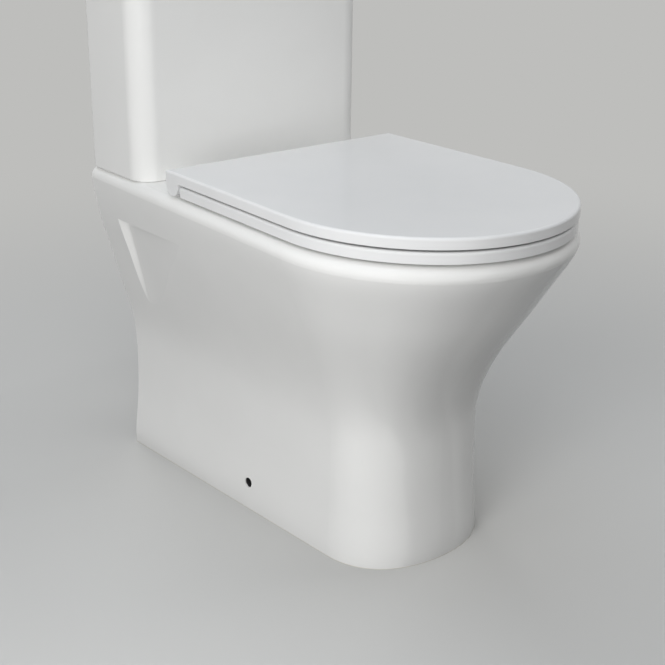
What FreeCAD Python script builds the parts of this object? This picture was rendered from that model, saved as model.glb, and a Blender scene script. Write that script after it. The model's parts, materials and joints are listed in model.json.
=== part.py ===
import FreeCAD, Part
import math
import os

Vector = FreeCAD.Vector

# Close-coupled back-to-wall toilet. All sizes are in millimetres. The front faces -Y, the wall plane lies
# at half the pan's depth on +Y, and the floor is the plane of zero height. Places along the depth are
# written as distances from the wall.

# Fits and cuts shared by several pieces
running_clearance = 0.05
press_clearance = 0.02
sliding_clearance = 0.3
thread_clearance = 0.1
overrun = 5.0
ellipse_share = 0.5523

# Pan: outer form
pan_height = 410.0
pan_depth = 617.0
rim_half_width = 185.0
rim_front = 194.0
deck_half_width = 177.0
foot_half_width = 130.0
foot_front_half_width = 108.5
foot_front = 86.0
foot_set_back = 120.0
foot_fullness_share = 0.62
rim_round = 13.0
pan_wall = 12.0
deck_thickness = 17.0
# Height of each level, flare of the bowl from foot to rim, flare of the wall wing from foot to deck
flare_shares = (
    (0.000, 0.000, 0.000),
    (0.146, -0.035, -0.096),
    (0.293, -0.062, -0.174),
    (0.366, -0.067, -0.173),
    (0.439, -0.045, -0.133),
    (0.512, 0.030, -0.013),
    (0.610, 0.198, 0.234),
    (0.707, 0.417, 0.475),
    (0.805, 0.646, 0.720),
    (0.902, 0.870, 0.912),
    (0.963, 0.990, 0.985),
    (1.000, 1.000, 1.000),
)

# Pan: shallow recess under each side of the deck, deepest at its ridge and fading forwards and downwards
recess_band = 61.0
recess_height = 153.0
recess_ridge = 46.0
recess_step = 12.0
recess_foot_reach = 90.0
recess_reach = 228.0
recess_depth = 8.0
recess_lead = 1.0
recess_ease_share = 0.4
# Height, depth and reach of each level of the recess, from its foot to its top
recess_shares = (
    (0.00, 0.00, 0.00),
    (0.25, 0.20, 0.18),
    (0.50, 0.52, 0.42),
    (0.75, 0.82, 0.70),
    (1.00, 1.00, 1.00),
)

# Pan: bowl, from the sump's floor to the rim
rim_side = 57.0
rim_nose = 40.0
deck_length = 265.0
bowl_wall = 11.0
bowl_edge_round = 6.0
sump_offset = 76.0
sump_floor = 92.0
# Height, move of the centre from sump to rim, length and width of each level of the bowl
bowl_shares = (
    (0.000, 0.00, 0.20, 0.24),
    (0.088, 0.05, 0.30, 0.33),
    (0.245, 0.20, 0.39, 0.42),
    (0.418, 0.42, 0.54, 0.55),
    (0.591, 0.70, 0.74, 0.76),
    (0.780, 0.92, 0.93, 0.94),
    (0.940, 1.00, 1.00, 1.00),
)

# Pan: trap and outlet spigot
trap_bore = 33.0
trap_wall = 9.0
trap_bend = 44.0
trap_joint_gap = 4.0
trap_mouth_lead = 30.0
trap_mouth_rise = 88.0
trap_dip_drop = 30.0
trap_crest_rise = 183.0
# Places of the dip, the crest and the fall between the outlet's end and the mouth
trap_shares = (0.762, 0.489, 0.222)
outlet_height = 180.0
outlet_radius = 51.0
outlet_bore = 42.0
outlet_end = 60.0
outlet_length = 58.0

# Pan: flush inlet well in the deck and the channel to the bowl
well_radius = 50.0
well_depth = 26.0
well_wall = 8.0
well_outlet_radius = 26.0
channel_half_width = 50.0
channel_height = 20.0
channel_wall = 11.0
channel_roof = 6.0

# Pan: holes
fixing_hole_radius = 6.5
fixing_hole_distance = 257.0
fixing_hole_height = 36.5
hinge_hole_radius = 7.5
bolt_hole_radius = 6.0
tail_hole_radius = 20.0

# Seat and lid
seat_nose_gap = 1.0
seat_side_gap = 6.0
seat_taper = 3.4
seat_gap = 3.5
ring_thickness = 12.5
lid_gap = 3.0
lid_thickness = 12.5
lid_plate = 5.5
lid_skirt = 4.0
lid_round = 3.0
ring_inset = 1.0
ring_back_gap = 1.8
ring_round = 3.0
ring_lip_round = 5.0
ring_side = 71.0
ring_nose = 51.0
ring_shelf = 74.2

# Seat hinge, on the axis shared by the ring and the lid
hinge_axis_distance = 195.5
hinge_spacing = 155.0
hinge_pin_radius = 4.0
post_half_width = 13.0
post_head_radius = 8.5
post_stem_radius = 6.5
post_offset = 3.5
post_flange_radius = 10.0
post_flange_height = 2.5
post_shank_radius = 4.0
post_shank_drop = 34.0
hinge_gasket_height = 1.0
hinge_gasket_radius = 11.0
hinge_washer_radius = 13.5
hinge_washer_height = 6.0
hinge_nut_radius = 10.5
hinge_nut_height = 9.0
knuckle_gap = 2.0
knuckle_width = 26.0
knuckle_radius = 9.0
knuckle_bore = 6.2
ring_arm_height = 9.0
barrel_radius = 13.5
damper_radius = 7.0
damper_length = 45.0
damper_cap = 3.0

# Rubber buffers under the ring and the lid
buffer_radius = 7.0
buffer_side = 29.0
buffer_back_lead = 89.2
buffer_nose = 146.0
buffer_front_side = 41.0

# Cistern
cistern_set_in = 3.0
cistern_depth = 122.0
cistern_height = 360.0
cistern_wall = 10.0
cistern_floor = 14.0
cistern_front_round = 28.0
cistern_back_round = 8.0
cistern_foot_round = 2.5
cistern_lid_height = 35.0
cistern_lid_plate = 12.0
cistern_lid_overhang = 3.0
cistern_lid_round = 7.0
cistern_lid_rib = 8.0
cistern_lid_rib_wall = 5.0
cistern_lid_rib_gap = 1.5

# Cistern fixing to the pan
bolt_spacing = 150.0
bolt_radius = 4.0
bolt_length = 58.0
bolt_head_radius = 7.5
bolt_head_height = 5.5
bolt_seal_radius = 13.0
bolt_seal_height = 4.0
bolt_washer_radius = 11.0
bolt_washer_height = 2.0
wing_hub_radius = 8.5
wing_hub_height = 9.0
wing_span = 17.0
wing_height = 13.0
wing_thickness = 3.5

# Flush valve
valve_bore = 25.0
valve_tail_radius = 30.0
valve_tail_reach = 22.0
valve_hole_gap = 1.5
valve_flange_radius = 41.0
valve_flange_height = 4.0
valve_seat_height = 5.0
valve_seat_wall = 3.0
valve_gasket_height = 3.0
valve_nut_radius = 38.0
valve_nut_height = 14.0
valve_nut_lugs = 8
valve_nut_lug = 1.5
doughnut_gap = 1.0
tower_radius = 36.0
tower_wall = 3.0
tower_room = 60.0
tower_head_height = 22.0
tower_head_round = 3.0
tower_ports = 4
port_width = 30.0
port_height = 34.0
port_lift = 5.0
slot_width = 12.0
slot_height = 120.0
slot_lift = 70.0
guide_height = 6.0
guide_room = 59.0
guide_wall = 3.0
guide_arm_width = 4.0
overflow_radius = 13.0
overflow_wall = 2.0
overflow_room = 24.0
overflow_plate_radius = 27.0
overflow_plate_height = 4.0
flush_seal_radius = 28.0
flush_seal_height = 4.0
plunger_radius = 4.0
plunger_height = 20.0
plunger_cap_radius = 5.5
plunger_cap_height = 3.0
plunger_stand = 12.0
plunger_well = 18.0

# Flush button in the cistern lid
button_radius = 24.4
button_gap = 0.4
button_height = 10.0
button_stand = 0.5
button_round = 1.2
button_split = 6.0
button_split_gap = 0.6
button_wall = 2.2
full_rod_place = -9.0
half_rod_place = 15.0
bezel_wall = 2.7
bezel_radius = 35.0
bezel_height = 3.0
bezel_round = 1.4
bezel_drop = 33.0
bezel_floor = 2.0
bezel_hole_gap = 0.5
bezel_nut_radius = 36.0
bezel_nut_height = 8.0
rod_radius = 2.5
rod_hole_gap = 0.5
spring_wire = 0.6
spring_radius = 4.6
spring_turns = 6
spring_seat = 0.3

# Fill valve
fill_side = 62.0
fill_shank_radius = 11.0
fill_shank_end = 15.0
fill_neck_radius = 9.4
fill_neck_height = 3.0
fill_tail_radius = 10.48
fill_tail_length = 56.0
fill_bore = 6.0
fill_hole_gap = 1.0
fill_flange_radius = 17.0
fill_flange_height = 4.0
fill_gasket_height = 3.0
fill_nut_radius = 17.0
fill_nut_height = 11.0
riser_radius = 9.0
riser_room = 130.0
fill_head_radius = 16.0
fill_head_height = 32.0
fill_head_round = 5.0
float_radius = 34.0
float_height = 56.0
float_wall = 2.5
float_drop = 84.0
float_stop_radius = 13.0
float_stop_height = 4.0
float_travel = 16.0
lever_length = 40.0
lever_height = 5.0
lever_thickness = 5.0
lever_side = 20.0
lever_back = 16.0
lever_boss_radius = 5.0
lever_pin_radius = 2.5
lever_pin_drop = 14.0
lever_lug = 12.0
lever_slot_gap = 1.5
link_radius = 1.5
link_collar_radius = 4.0
link_collar_height = 2.0
link_collar_gap = 1.6
link_top = 8.0

# Places worked out from the sizes above
wall_plane = pan_depth / 2
deck = pan_height
deck_underside = deck - deck_thickness
rim_turn = pan_depth - rim_front
foot_depth = pan_depth - foot_set_back
foot_turn = foot_depth - foot_front
recess_top = deck - recess_band
recess_foot = recess_top - recess_height
bowl_half_width = rim_half_width - rim_side
bowl_front = pan_depth - rim_nose
bowl_half_length = (bowl_front - deck_length) / 2
bowl_centre = deck_length + bowl_half_length
sump_centre = bowl_centre - sump_offset
trap_mouth = sump_centre + trap_mouth_lead
trap_joint = deck_length - bowl_wall - trap_joint_gap
flush_distance = cistern_depth / 2
well_floor = deck - well_depth
channel_top = well_floor - channel_roof
channel_floor = channel_top - channel_height
seat_half_width = rim_half_width - seat_side_gap
seat_back_half_width = seat_half_width - seat_taper
seat_nose = pan_depth - seat_nose_gap
seat_back = hinge_axis_distance - barrel_radius
ring_back = hinge_axis_distance + barrel_radius + ring_back_gap
ring_hole_half_width = seat_half_width - ring_side
ring_hole_back = ring_back + ring_shelf
ring_hole_half_length = (seat_nose - ring_nose - ring_hole_back) / 2
ring_hole_centre = ring_hole_back + ring_hole_half_length
ring_bottom = deck + seat_gap
ring_top = ring_bottom + ring_thickness
hinge_axis_height = ring_top
post_distance = hinge_axis_distance + post_offset
lid_bottom = ring_top + lid_gap
lid_top = lid_bottom + lid_thickness
lid_underside = lid_top - lid_plate
hinge_place = hinge_spacing / 2
post_inner = hinge_place - post_half_width
post_outer = hinge_place + post_half_width
knuckle_outer = post_inner - knuckle_gap
knuckle_inner = knuckle_outer - knuckle_width
barrel_inner = post_outer + knuckle_gap
damper_outer = barrel_inner + damper_length
cistern_half_width = deck_half_width - cistern_set_in
cistern_top = deck + cistern_height
cistern_bed = deck + cistern_floor
cistern_lid_top = cistern_top + cistern_lid_height
cistern_lid_ceiling = cistern_lid_top - cistern_lid_plate
bolt_place = bolt_spacing / 2
valve_flange_bottom = cistern_bed + valve_gasket_height
valve_flange_top = valve_flange_bottom + valve_flange_height
valve_seat = valve_flange_top + valve_seat_height
bezel_bottom = cistern_lid_top - bezel_drop
tower_top = bezel_bottom - tower_room
tower_head = tower_top - tower_head_height
plunger_top = tower_top + plunger_stand
bezel_top = cistern_lid_top + bezel_height
bezel_bore = button_radius + button_gap
bezel_outer = bezel_bore + bezel_wall
button_top = bezel_top + button_stand
button_bottom = button_top - button_height
button_ceiling = button_top - button_wall
fill_place = cistern_half_width - fill_side
fill_flange_bottom = cistern_bed + fill_gasket_height
fill_flange_top = fill_flange_bottom + fill_flange_height
riser_top = cistern_top - riser_room
float_bottom = riser_top - float_drop
float_top = float_bottom + float_height
lever_distance = flush_distance + lever_side
lever_place = fill_place + lever_back
lever_axis_height = riser_top + fill_head_height - lever_pin_drop
lever_rest = math.asin(float_travel / 2 / lever_length)
link_place = lever_place - lever_length * math.cos(lever_rest)
link_height = lever_axis_height - float_travel / 2


def at(x, distance, z):
    """The point at a distance from the wall."""
    return Vector(x, wall_plane - distance, z)


def cylinder(radius, low, high, x, distance):
    """An upright cylinder."""
    return Part.makeCylinder(radius, high - low, at(x, distance, low))


def cylinder_x(radius, x_low, x_high, distance, z):
    """A cylinder lying across the toilet."""
    return Part.makeCylinder(radius, x_high - x_low, at(x_low, distance, z), Vector(1, 0, 0))


def cylinder_out(radius, near, far, x, z):
    """A cylinder lying along the depth, from the nearer to the farther distance from the wall."""
    return Part.makeCylinder(radius, far - near, at(x, near, z), Vector(0, -1, 0))


def block(x_low, x_high, near, far, low, high):
    """A box between two sides, two distances from the wall and two heights."""
    return Part.makeBox(x_high - x_low, far - near, high - low, at(x_low, far, low))


def tube(outer, inner, low, high, x, distance):
    """An upright tube."""
    return cylinder(outer, low, high, x, distance).cut(cylinder(inner, low, high, x, distance))


def tube_x(outer, inner, x_low, x_high, distance, z):
    """A tube lying across the toilet."""
    return cylinder_x(outer, x_low, x_high, distance, z).cut(cylinder_x(inner, x_low, x_high, distance, z))


def hexagon(radius, low, high, x, distance):
    """An upright six-sided prism, measured to its corners."""
    corners = []
    for corner in range(7):
        angle = math.radians(60 * corner)
        corners.append(at(x + radius * math.cos(angle), distance + radius * math.sin(angle), low))
    return Part.Face(Part.makePolygon(corners)).extrude(Vector(0, 0, high - low))


def mirrored(shape):
    """The same shape on the other side of the middle."""
    return shape.mirror(Vector(0, 0, 0), Vector(1, 0, 0))


def pair(shape):
    """The shape and its twin on the other side, as one solid group."""
    return Part.makeCompound([shape, mirrored(shape)])


def bezier(*poles):
    """A curved edge through its end poles."""
    curve = Part.BezierCurve()
    curve.setPoles(list(poles))
    return curve.toShape()


def d_outline(back_half, front_half, back, turn, nose, fullness, z):
    """A flat D: straight back, straight sides, and a front that leaves the sides smoothly."""
    right_back = at(back_half, back, z)
    right_turn = at(front_half, turn, z)
    left_back = at(-back_half, back, z)
    left_turn = at(-front_half, turn, z)
    tip = at(0, nose, z)
    right_lead = (right_turn - right_back).normalize() * (fullness * (nose - turn))
    left_lead = (left_turn - left_back).normalize() * (fullness * (nose - turn))
    right_pull = at(fullness * front_half, nose, z)
    left_pull = at(-fullness * front_half, nose, z)
    edges = [
        Part.makeLine(right_back, right_turn),
        bezier(right_turn, right_turn + right_lead, right_pull, tip),
        bezier(tip, left_pull, left_turn + left_lead, left_turn),
        Part.makeLine(left_turn, left_back),
        Part.makeLine(left_back, right_back),
    ]
    return Part.Wire(edges)


def oval(half_width, half_length, centre, z):
    """A flat oval of four quarter curves."""
    right = at(half_width, centre, z)
    front = at(0, centre + half_length, z)
    left = at(-half_width, centre, z)
    back = at(0, centre - half_length, z)
    across = Vector(ellipse_share * half_width, 0, 0)
    along = Vector(0, -ellipse_share * half_length, 0)
    edges = [
        bezier(right, right + along, front + across, front),
        bezier(front, front - across, left + along, left),
        bezier(left, left - along, back - across, back),
        bezier(back, back + across, right - along, right),
    ]
    return Part.Wire(edges)


def rounded_panel(half_width, near, far, low, high, front_round, back_round):
    """An upright block whose four standing edges are rounded."""
    panel = block(-half_width, half_width, near, far, low, high)
    front_edges = []
    back_edges = []
    for edge in panel.Edges:
        if abs(edge.Vertexes[0].Z - edge.Vertexes[1].Z) > 0:
            at_front = edge.Vertexes[0].Y < wall_plane - (near + far) / 2
            (front_edges if at_front else back_edges).append(edge)
    panel = panel.makeFillet(front_round, front_edges)
    return panel.makeFillet(back_round, edges_like(panel, back_edges))


def edges_like(shape, edges):
    """The shape's own edges that have the same middle as the given ones."""
    centres = [edge.CenterOfMass for edge in edges]
    return [edge for edge in shape.Edges
            if any(edge.CenterOfMass.distanceToPoint(centre) < press_clearance for centre in centres)]


def edges_at_height(shape, z):
    """The edges that lie flat at one height."""
    return [edge for edge in shape.Edges
            if max(abs(edge.BoundBox.ZMin - z), abs(edge.BoundBox.ZMax - z)) < press_clearance]


def bent_pipe(radius, points, bend):
    """A round bar along straight runs joined by arcs, in the middle plane."""
    edges = []
    start = points[0]
    for before, corner, after in zip(points, points[1:], points[2:]):
        inward = (before - corner).normalize()
        outward = (after - corner).normalize()
        half_turn = math.acos(inward.dot(outward)) / 2
        lead = bend / math.tan(half_turn)
        middle = (inward + outward).normalize() * (bend / math.sin(half_turn) - bend)
        first = corner + inward * lead
        last = corner + outward * lead
        edges.append(Part.makeLine(start, first))
        edges.append(Part.Arc(first, corner + middle, last).toShape())
        start = last
    edges.append(Part.makeLine(start, points[-1]))
    path = Part.Wire(edges)
    ring = Part.Wire(Part.makeCircle(radius, points[0], points[1] - points[0]))
    return path.makePipeShell([ring], True, False)


def flare_at(height):
    """The bowl's and the wing's flare at a height, between the levels of the table."""
    share = height / pan_height
    for lower, upper in zip(flare_shares, flare_shares[1:]):
        if share <= upper[0]:
            part = (share - lower[0]) / (upper[0] - lower[0])
            return lower[1] + part * (upper[1] - lower[1]), lower[2] + part * (upper[2] - lower[2])
    return flare_shares[-1][1:]


def side_half_width(height, distance):
    """How far the pan's side stands from the middle at a height and a distance from the wall."""
    front_flare, wing_flare = flare_at(height)
    back_half = foot_half_width + wing_flare * (deck_half_width - foot_half_width)
    front_half = foot_front_half_width + front_flare * (rim_half_width - foot_front_half_width)
    turn = foot_turn + front_flare * (rim_turn - foot_turn)
    return back_half + (front_half - back_half) * distance / turn


def pan_level(height, back, wing_inset, front_inset, z):
    """One level of the pan's outline, drawn in by the insets."""
    front_flare, wing_flare = flare_at(height)
    back_half = foot_half_width + wing_flare * (deck_half_width - foot_half_width) - wing_inset
    front_half = foot_front_half_width + front_flare * (rim_half_width - foot_front_half_width) - front_inset
    turn = foot_turn + front_flare * (rim_turn - foot_turn)
    nose = foot_depth + front_flare * (pan_depth - foot_depth) - front_inset
    fullness = foot_fullness_share + front_flare * (ellipse_share - foot_fullness_share)
    return d_outline(back_half, front_half, back, turn, nose, fullness, z)


def pan_hull():
    """The outer form, lofted from foot to rim, with a rounded rim."""
    levels = [pan_level(row[0] * pan_height, 0, 0, 0, row[0] * pan_height) for row in flare_shares]
    hull = Part.makeLoft(levels, True)
    rim = [edge for edge in edges_at_height(hull, pan_height) if edge.BoundBox.YMin < wall_plane - overrun]
    return hull.makeFillet(rim_round, rim)


def pan_cavity():
    """The hollow inside the pan, open to the floor and to the wall."""
    levels = [pan_level(0, -overrun, pan_wall, pan_wall, -overrun)]
    for row in flare_shares:
        height = row[0] * pan_height
        if height < deck_underside:
            levels.append(pan_level(height, -overrun, cavity_inset(height), pan_wall, height))
    levels.append(pan_level(deck_underside, -overrun, cavity_inset(deck_underside), pan_wall, deck_underside))
    return Part.makeLoft(levels, True)


def cavity_inset(height):
    """The wing's wall grows inwards behind the recess, to keep its thickness there."""
    part = (height - recess_foot) / recess_height
    return pan_wall + recess_depth * min(max(part, 0), 1)


def recess_level(height, depth, reach):
    """One level of the recess: a soft step behind the ridge, then a floor that eases out to the side."""
    inner = recess_ridge + recess_step

    def beside(distance, stand):
        return at(side_half_width(height, distance) + stand, distance, height)

    step_ease = recess_ease_share * recess_step
    floor_ease = recess_ease_share * (reach - inner)
    step = bezier(beside(recess_ridge, recess_lead), beside(recess_ridge + step_ease, recess_lead),
                  beside(inner - step_ease, -depth), beside(inner, -depth))
    floor = bezier(beside(inner, -depth), beside(inner + floor_ease, -depth),
                   beside(reach - floor_ease, recess_lead), beside(reach, recess_lead))
    outside = recess_lead + overrun
    edges = [
        step,
        floor,
        Part.makeLine(beside(reach, recess_lead), beside(reach, outside)),
        Part.makeLine(beside(reach, outside), beside(recess_ridge, outside)),
        Part.makeLine(beside(recess_ridge, outside), beside(recess_ridge, recess_lead)),
    ]
    return Part.Wire(edges)


def recess_cut():
    """The recess on the right: levels from its foot, where it has no depth, up to the flat under the band."""
    levels = []
    for height_share, depth_share, reach_share in recess_shares:
        height = recess_foot + height_share * recess_height
        depth = depth_share * (recess_depth + recess_lead) - recess_lead
        reach = recess_foot_reach + reach_share * (recess_reach - recess_foot_reach)
        levels.append(recess_level(height, depth, reach))
    return Part.makeLoft(levels, True)


def bowl_form(wall, top):
    """The bowl's inner form, or its outer form when it is thickened by a wall."""
    rise = pan_height - sump_floor
    levels = []
    for height_share, centre_share, length_share, width_share in bowl_shares:
        z = sump_floor + height_share * rise - wall
        centre = sump_centre + centre_share * (bowl_centre - sump_centre)
        half_width = width_share * bowl_half_width + wall
        half_length = length_share * bowl_half_length + wall
        levels.append(oval(half_width, half_length, centre, z))
    levels.append(oval(bowl_half_width + wall, bowl_half_length + wall, bowl_centre, top))
    return Part.makeLoft(levels, True)


def trap_path():
    """The middle line of the trap, from the sump over the weir to the outlet."""
    dip, crest, fall = [outlet_end + share * (trap_mouth - outlet_end) for share in trap_shares]
    return [
        at(0, trap_mouth, sump_floor + trap_mouth_rise),
        at(0, dip, sump_floor - trap_dip_drop),
        at(0, crest, sump_floor + trap_crest_rise),
        at(0, fall, outlet_height),
        at(0, outlet_end, outlet_height),
    ]


def fixing_hole(side):
    """A fixing hole, drilled square to the side of the foot."""
    middle = side_half_width(fixing_hole_height, fixing_hole_distance)
    slope = (side_half_width(fixing_hole_height, 0) - middle) / fixing_hole_distance
    outward = Vector(side, -slope, 0).normalize()
    reach = pan_wall + overrun
    mouth = at(side * middle, fixing_hole_distance, fixing_hole_height)
    return Part.makeCylinder(fixing_hole_radius, 2 * reach, mouth - outward * reach, outward)


def flush_way():
    """The way of the flush water: a slot under the deck, from the inlet well to the bowl."""
    return block(-channel_half_width, channel_half_width, flush_distance - well_outlet_radius,
                 deck_length + bowl_wall + overrun, channel_floor, channel_top)


def pan():
    """The pan's body: hollow hull with its deck and rim, the flush channel and every hole."""
    channel_half = channel_half_width + channel_wall
    channel_bottom = channel_floor - channel_wall
    inside_deck = deck - deck_thickness / 2
    body = pan_hull().cut(pan_cavity())
    body = body.multiFuse([
        cylinder(well_radius + well_wall, channel_bottom, inside_deck, 0, flush_distance),
        block(-channel_half, channel_half, flush_distance, deck_length, channel_bottom, inside_deck),
    ])
    cuts = [
        bowl_form(bowl_wall, deck_underside),
        prism(oval(bowl_half_width, bowl_half_length, bowl_centre, deck_underside - overrun), deck + overrun),
        cylinder(well_radius, well_floor, deck + overrun, 0, flush_distance),
        cylinder(well_outlet_radius, channel_floor, well_floor + overrun, 0, flush_distance),
        flush_way(),
        cylinder(tail_hole_radius, deck_underside - overrun, deck + overrun, fill_place, flush_distance),
        recess_cut(),
        mirrored(recess_cut()),
    ]
    for side in (-1, 1):
        cuts.append(cylinder(hinge_hole_radius, deck_underside - overrun, deck + overrun,
                             side * hinge_place, post_distance))
        cuts.append(cylinder(bolt_hole_radius, deck_underside - overrun, deck + overrun,
                             side * bolt_place, flush_distance))
        cuts.append(fixing_hole(side))
    body = body.cut(Part.makeCompound(cuts)).Solids[0]
    bowl_rim = [edge for edge in edges_at_height(body, deck)
                if abs(edge.BoundBox.Center.x) < bowl_half_width
                and edge.BoundBox.YMax < wall_plane - deck_length + press_clearance
                and edge.BoundBox.YMin > wall_plane - bowl_front - press_clearance]
    return body.makeFillet(bowl_edge_round, bowl_rim)


def bowl_and_trap():
    """The bowl under the rim with the whole trap, before they are parted at the joint behind the bowl."""
    body = bowl_form(bowl_wall, deck_underside).multiFuse([
        bent_pipe(trap_bore + trap_wall, trap_path(), trap_bend),
        cylinder_out(outlet_radius, outlet_end, outlet_end + outlet_length, 0, outlet_height),
    ])
    cuts = [
        bowl_form(0, deck + overrun),
        bent_pipe(trap_bore, trap_path(), trap_bend),
        cylinder_out(outlet_bore, outlet_end - overrun, outlet_end + outlet_length - trap_wall,
                     0, outlet_height),
        flush_way(),
    ]
    return body.cut(Part.makeCompound(cuts))


def behind_bowl():
    """The space behind the joint between bowl and trap."""
    return block(-rim_half_width, rim_half_width, 0, trap_joint, 0, deck)


def bowl():
    """The bowl with its sump and the trap's dip."""
    return bowl_and_trap().cut(behind_bowl()).Solids[0]


def trap():
    """The trap's weir, its fall and the outlet spigot."""
    return bowl_and_trap().common(behind_bowl()).Solids[0]


def seat_outline(inset, back, z):
    """The seat's D outline, drawn in by an inset and cut square at a distance from the wall."""
    return d_outline(seat_back_half_width - inset, seat_half_width - inset, back, rim_turn,
                     seat_nose - inset, ellipse_share, z)


def prism(wire, high):
    """A flat outline raised to a height."""
    low = wire.BoundBox.ZMin
    return Part.Face(wire).extrude(Vector(0, 0, high - low))


def seat_ring():
    """The ring with its open middle, and two arms that end in hinge knuckles."""
    ring = prism(seat_outline(ring_inset, ring_back, ring_bottom), ring_top)
    ring = ring.makeFillet(ring_round, edges_at_height(ring, ring_top))
    hole = prism(oval(ring_hole_half_width, ring_hole_half_length, ring_hole_centre, ring_bottom), ring_top)
    ring = ring.cut(hole)
    lip = [edge for edge in edges_at_height(ring, ring_top)
           if edge.BoundBox.XMax <= ring_hole_half_width and edge.BoundBox.XMin >= -ring_hole_half_width
           and edge.BoundBox.YMax <= wall_plane - ring_hole_centre + ring_hole_half_length]
    ring = ring.makeFillet(ring_lip_round, lip)
    for side in (-1, 1):
        low, high = sorted((side * knuckle_inner, side * knuckle_outer))
        arm = block(low, high, hinge_axis_distance, ring_back + ring_round + overrun,
                    ring_top - ring_arm_height, ring_top - ring_round)
        barrel = cylinder_x(knuckle_radius, low, high, hinge_axis_distance, hinge_axis_height)
        bore = cylinder_x(knuckle_bore, low, high, hinge_axis_distance, hinge_axis_height)
        ring = ring.fuse(arm).fuse(barrel).cut(bore)
    return ring.removeSplitter().Solids[0]


def seat_lid():
    """The lid: a plate with a skirt, and two barrels at its back that turn on the hinge pins."""
    lid = prism(seat_outline(0, seat_back, lid_bottom), lid_top)
    lid = lid.makeFillet(lid_round, edges_at_height(lid, lid_top))
    hollow = prism(seat_outline(lid_skirt, seat_back - overrun, lid_bottom), lid_underside)
    lid = lid.cut(hollow)
    barrel_front = hinge_axis_distance + barrel_radius
    for side in (-1, 1):
        low, high = sorted((side * barrel_inner, side * seat_half_width))
        barrel = cylinder_x(barrel_radius, low, high, hinge_axis_distance, hinge_axis_height)
        web = block(low, high, seat_back, barrel_front, hinge_axis_height, lid_underside + lid_round)
        cheek = barrel.fuse(web)
        trim = prism(seat_outline(0, seat_back, deck), lid_underside + lid_round)
        lid = lid.fuse(cheek.common(trim))
        bore_low, bore_high = sorted((side * barrel_inner, side * damper_outer))
        lid = lid.cut(cylinder_x(damper_radius + press_clearance, bore_low, bore_high,
                                 hinge_axis_distance, hinge_axis_height))
    return lid.removeSplitter().Solids[0]


def hinge_posts():
    """A chromed post on each side: flange, stem, head for the pin and a threaded shank below the deck."""
    foot = deck + hinge_gasket_height
    post = cylinder(post_flange_radius, foot, foot + post_flange_height, hinge_place, post_distance)
    post = post.fuse(cylinder(post_stem_radius, foot, hinge_axis_height, hinge_place, post_distance))
    post = post.fuse(cylinder(post_shank_radius, deck_underside - post_shank_drop, foot,
                              hinge_place, post_distance))
    post = post.fuse(cylinder_x(post_head_radius, post_inner, post_outer,
                                hinge_axis_distance, hinge_axis_height))
    post = post.cut(cylinder_x(hinge_pin_radius + press_clearance, post_inner, post_outer,
                               hinge_axis_distance, hinge_axis_height))
    return pair(post)


def hinge_pins():
    """The steel pin through each post, from the ring's knuckle to the lid's barrel."""
    return pair(cylinder_x(hinge_pin_radius, knuckle_inner, damper_outer - damper_cap,
                           hinge_axis_distance, hinge_axis_height))


def hinge_dampers():
    """The closed damper cartridge in each of the lid's barrels."""
    damper = cylinder_x(damper_radius, barrel_inner, damper_outer, hinge_axis_distance, hinge_axis_height)
    bore = cylinder_x(hinge_pin_radius + running_clearance, barrel_inner,
                      damper_outer - damper_cap + running_clearance, hinge_axis_distance, hinge_axis_height)
    return pair(damper.cut(bore))


def ring_bushes():
    """The plain bush in each of the ring's knuckles."""
    return pair(tube_x(knuckle_bore - press_clearance, hinge_pin_radius + running_clearance,
                       knuckle_inner, knuckle_outer, hinge_axis_distance, hinge_axis_height))


def hinge_gaskets():
    """The soft ring between each post and the deck."""
    return pair(tube(hinge_gasket_radius, post_shank_radius + thread_clearance,
                     deck, deck + hinge_gasket_height, hinge_place, post_distance))


def hinge_washers():
    """The rubber washer under the deck, with a spigot that centres the shank in its hole."""
    washer = cylinder(hinge_washer_radius, deck_underside - hinge_washer_height, deck_underside,
                      hinge_place, post_distance)
    spigot = cylinder(hinge_hole_radius - sliding_clearance, deck_underside,
                      deck_underside + hinge_washer_height, hinge_place, post_distance)
    bore = cylinder(post_shank_radius + thread_clearance, deck_underside - hinge_washer_height,
                    deck_underside + hinge_washer_height, hinge_place, post_distance)
    return pair(washer.fuse(spigot).cut(bore))


def hinge_nuts():
    """The six-sided nut that holds each post down."""
    top = deck_underside - hinge_washer_height
    nut = hexagon(hinge_nut_radius, top - hinge_nut_height, top, hinge_place, post_distance)
    bore = cylinder(post_shank_radius + thread_clearance, top - hinge_nut_height, top,
                    hinge_place, post_distance)
    return pair(nut.cut(bore))


def buffer_pads(low, high):
    """Four round rubber pads between two heights."""
    back = cylinder(buffer_radius, low, high, seat_half_width - buffer_side, ring_back + buffer_back_lead)
    front = cylinder(buffer_radius, low, high, seat_half_width - buffer_front_side, seat_nose - buffer_nose)
    return Part.makeCompound([back, mirrored(back), front, mirrored(front)])


def cistern():
    """The ceramic tank, open at the top, with holes for the valves and the two bolts."""
    tank = rounded_panel(cistern_half_width, 0, cistern_depth, deck, cistern_top,
                         cistern_front_round, cistern_back_round)
    tank = tank.makeFillet(cistern_foot_round, edges_at_height(tank, deck))
    room = rounded_panel(cistern_half_width - cistern_wall, cistern_wall, cistern_depth - cistern_wall,
                         cistern_bed, cistern_top + overrun,
                         cistern_front_round - cistern_wall, cistern_back_round)
    holes = [
        cylinder(valve_tail_radius + valve_hole_gap, deck - overrun, cistern_bed + overrun,
                 0, flush_distance),
        cylinder(fill_shank_radius + fill_hole_gap, deck - overrun, cistern_bed + overrun,
                 fill_place, flush_distance),
    ]
    for side in (-1, 1):
        holes.append(cylinder(bolt_radius + valve_hole_gap, deck - overrun, cistern_bed + overrun,
                              side * bolt_place, flush_distance))
    return tank.cut(room).cut(Part.makeCompound(holes)).Solids[0]


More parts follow.
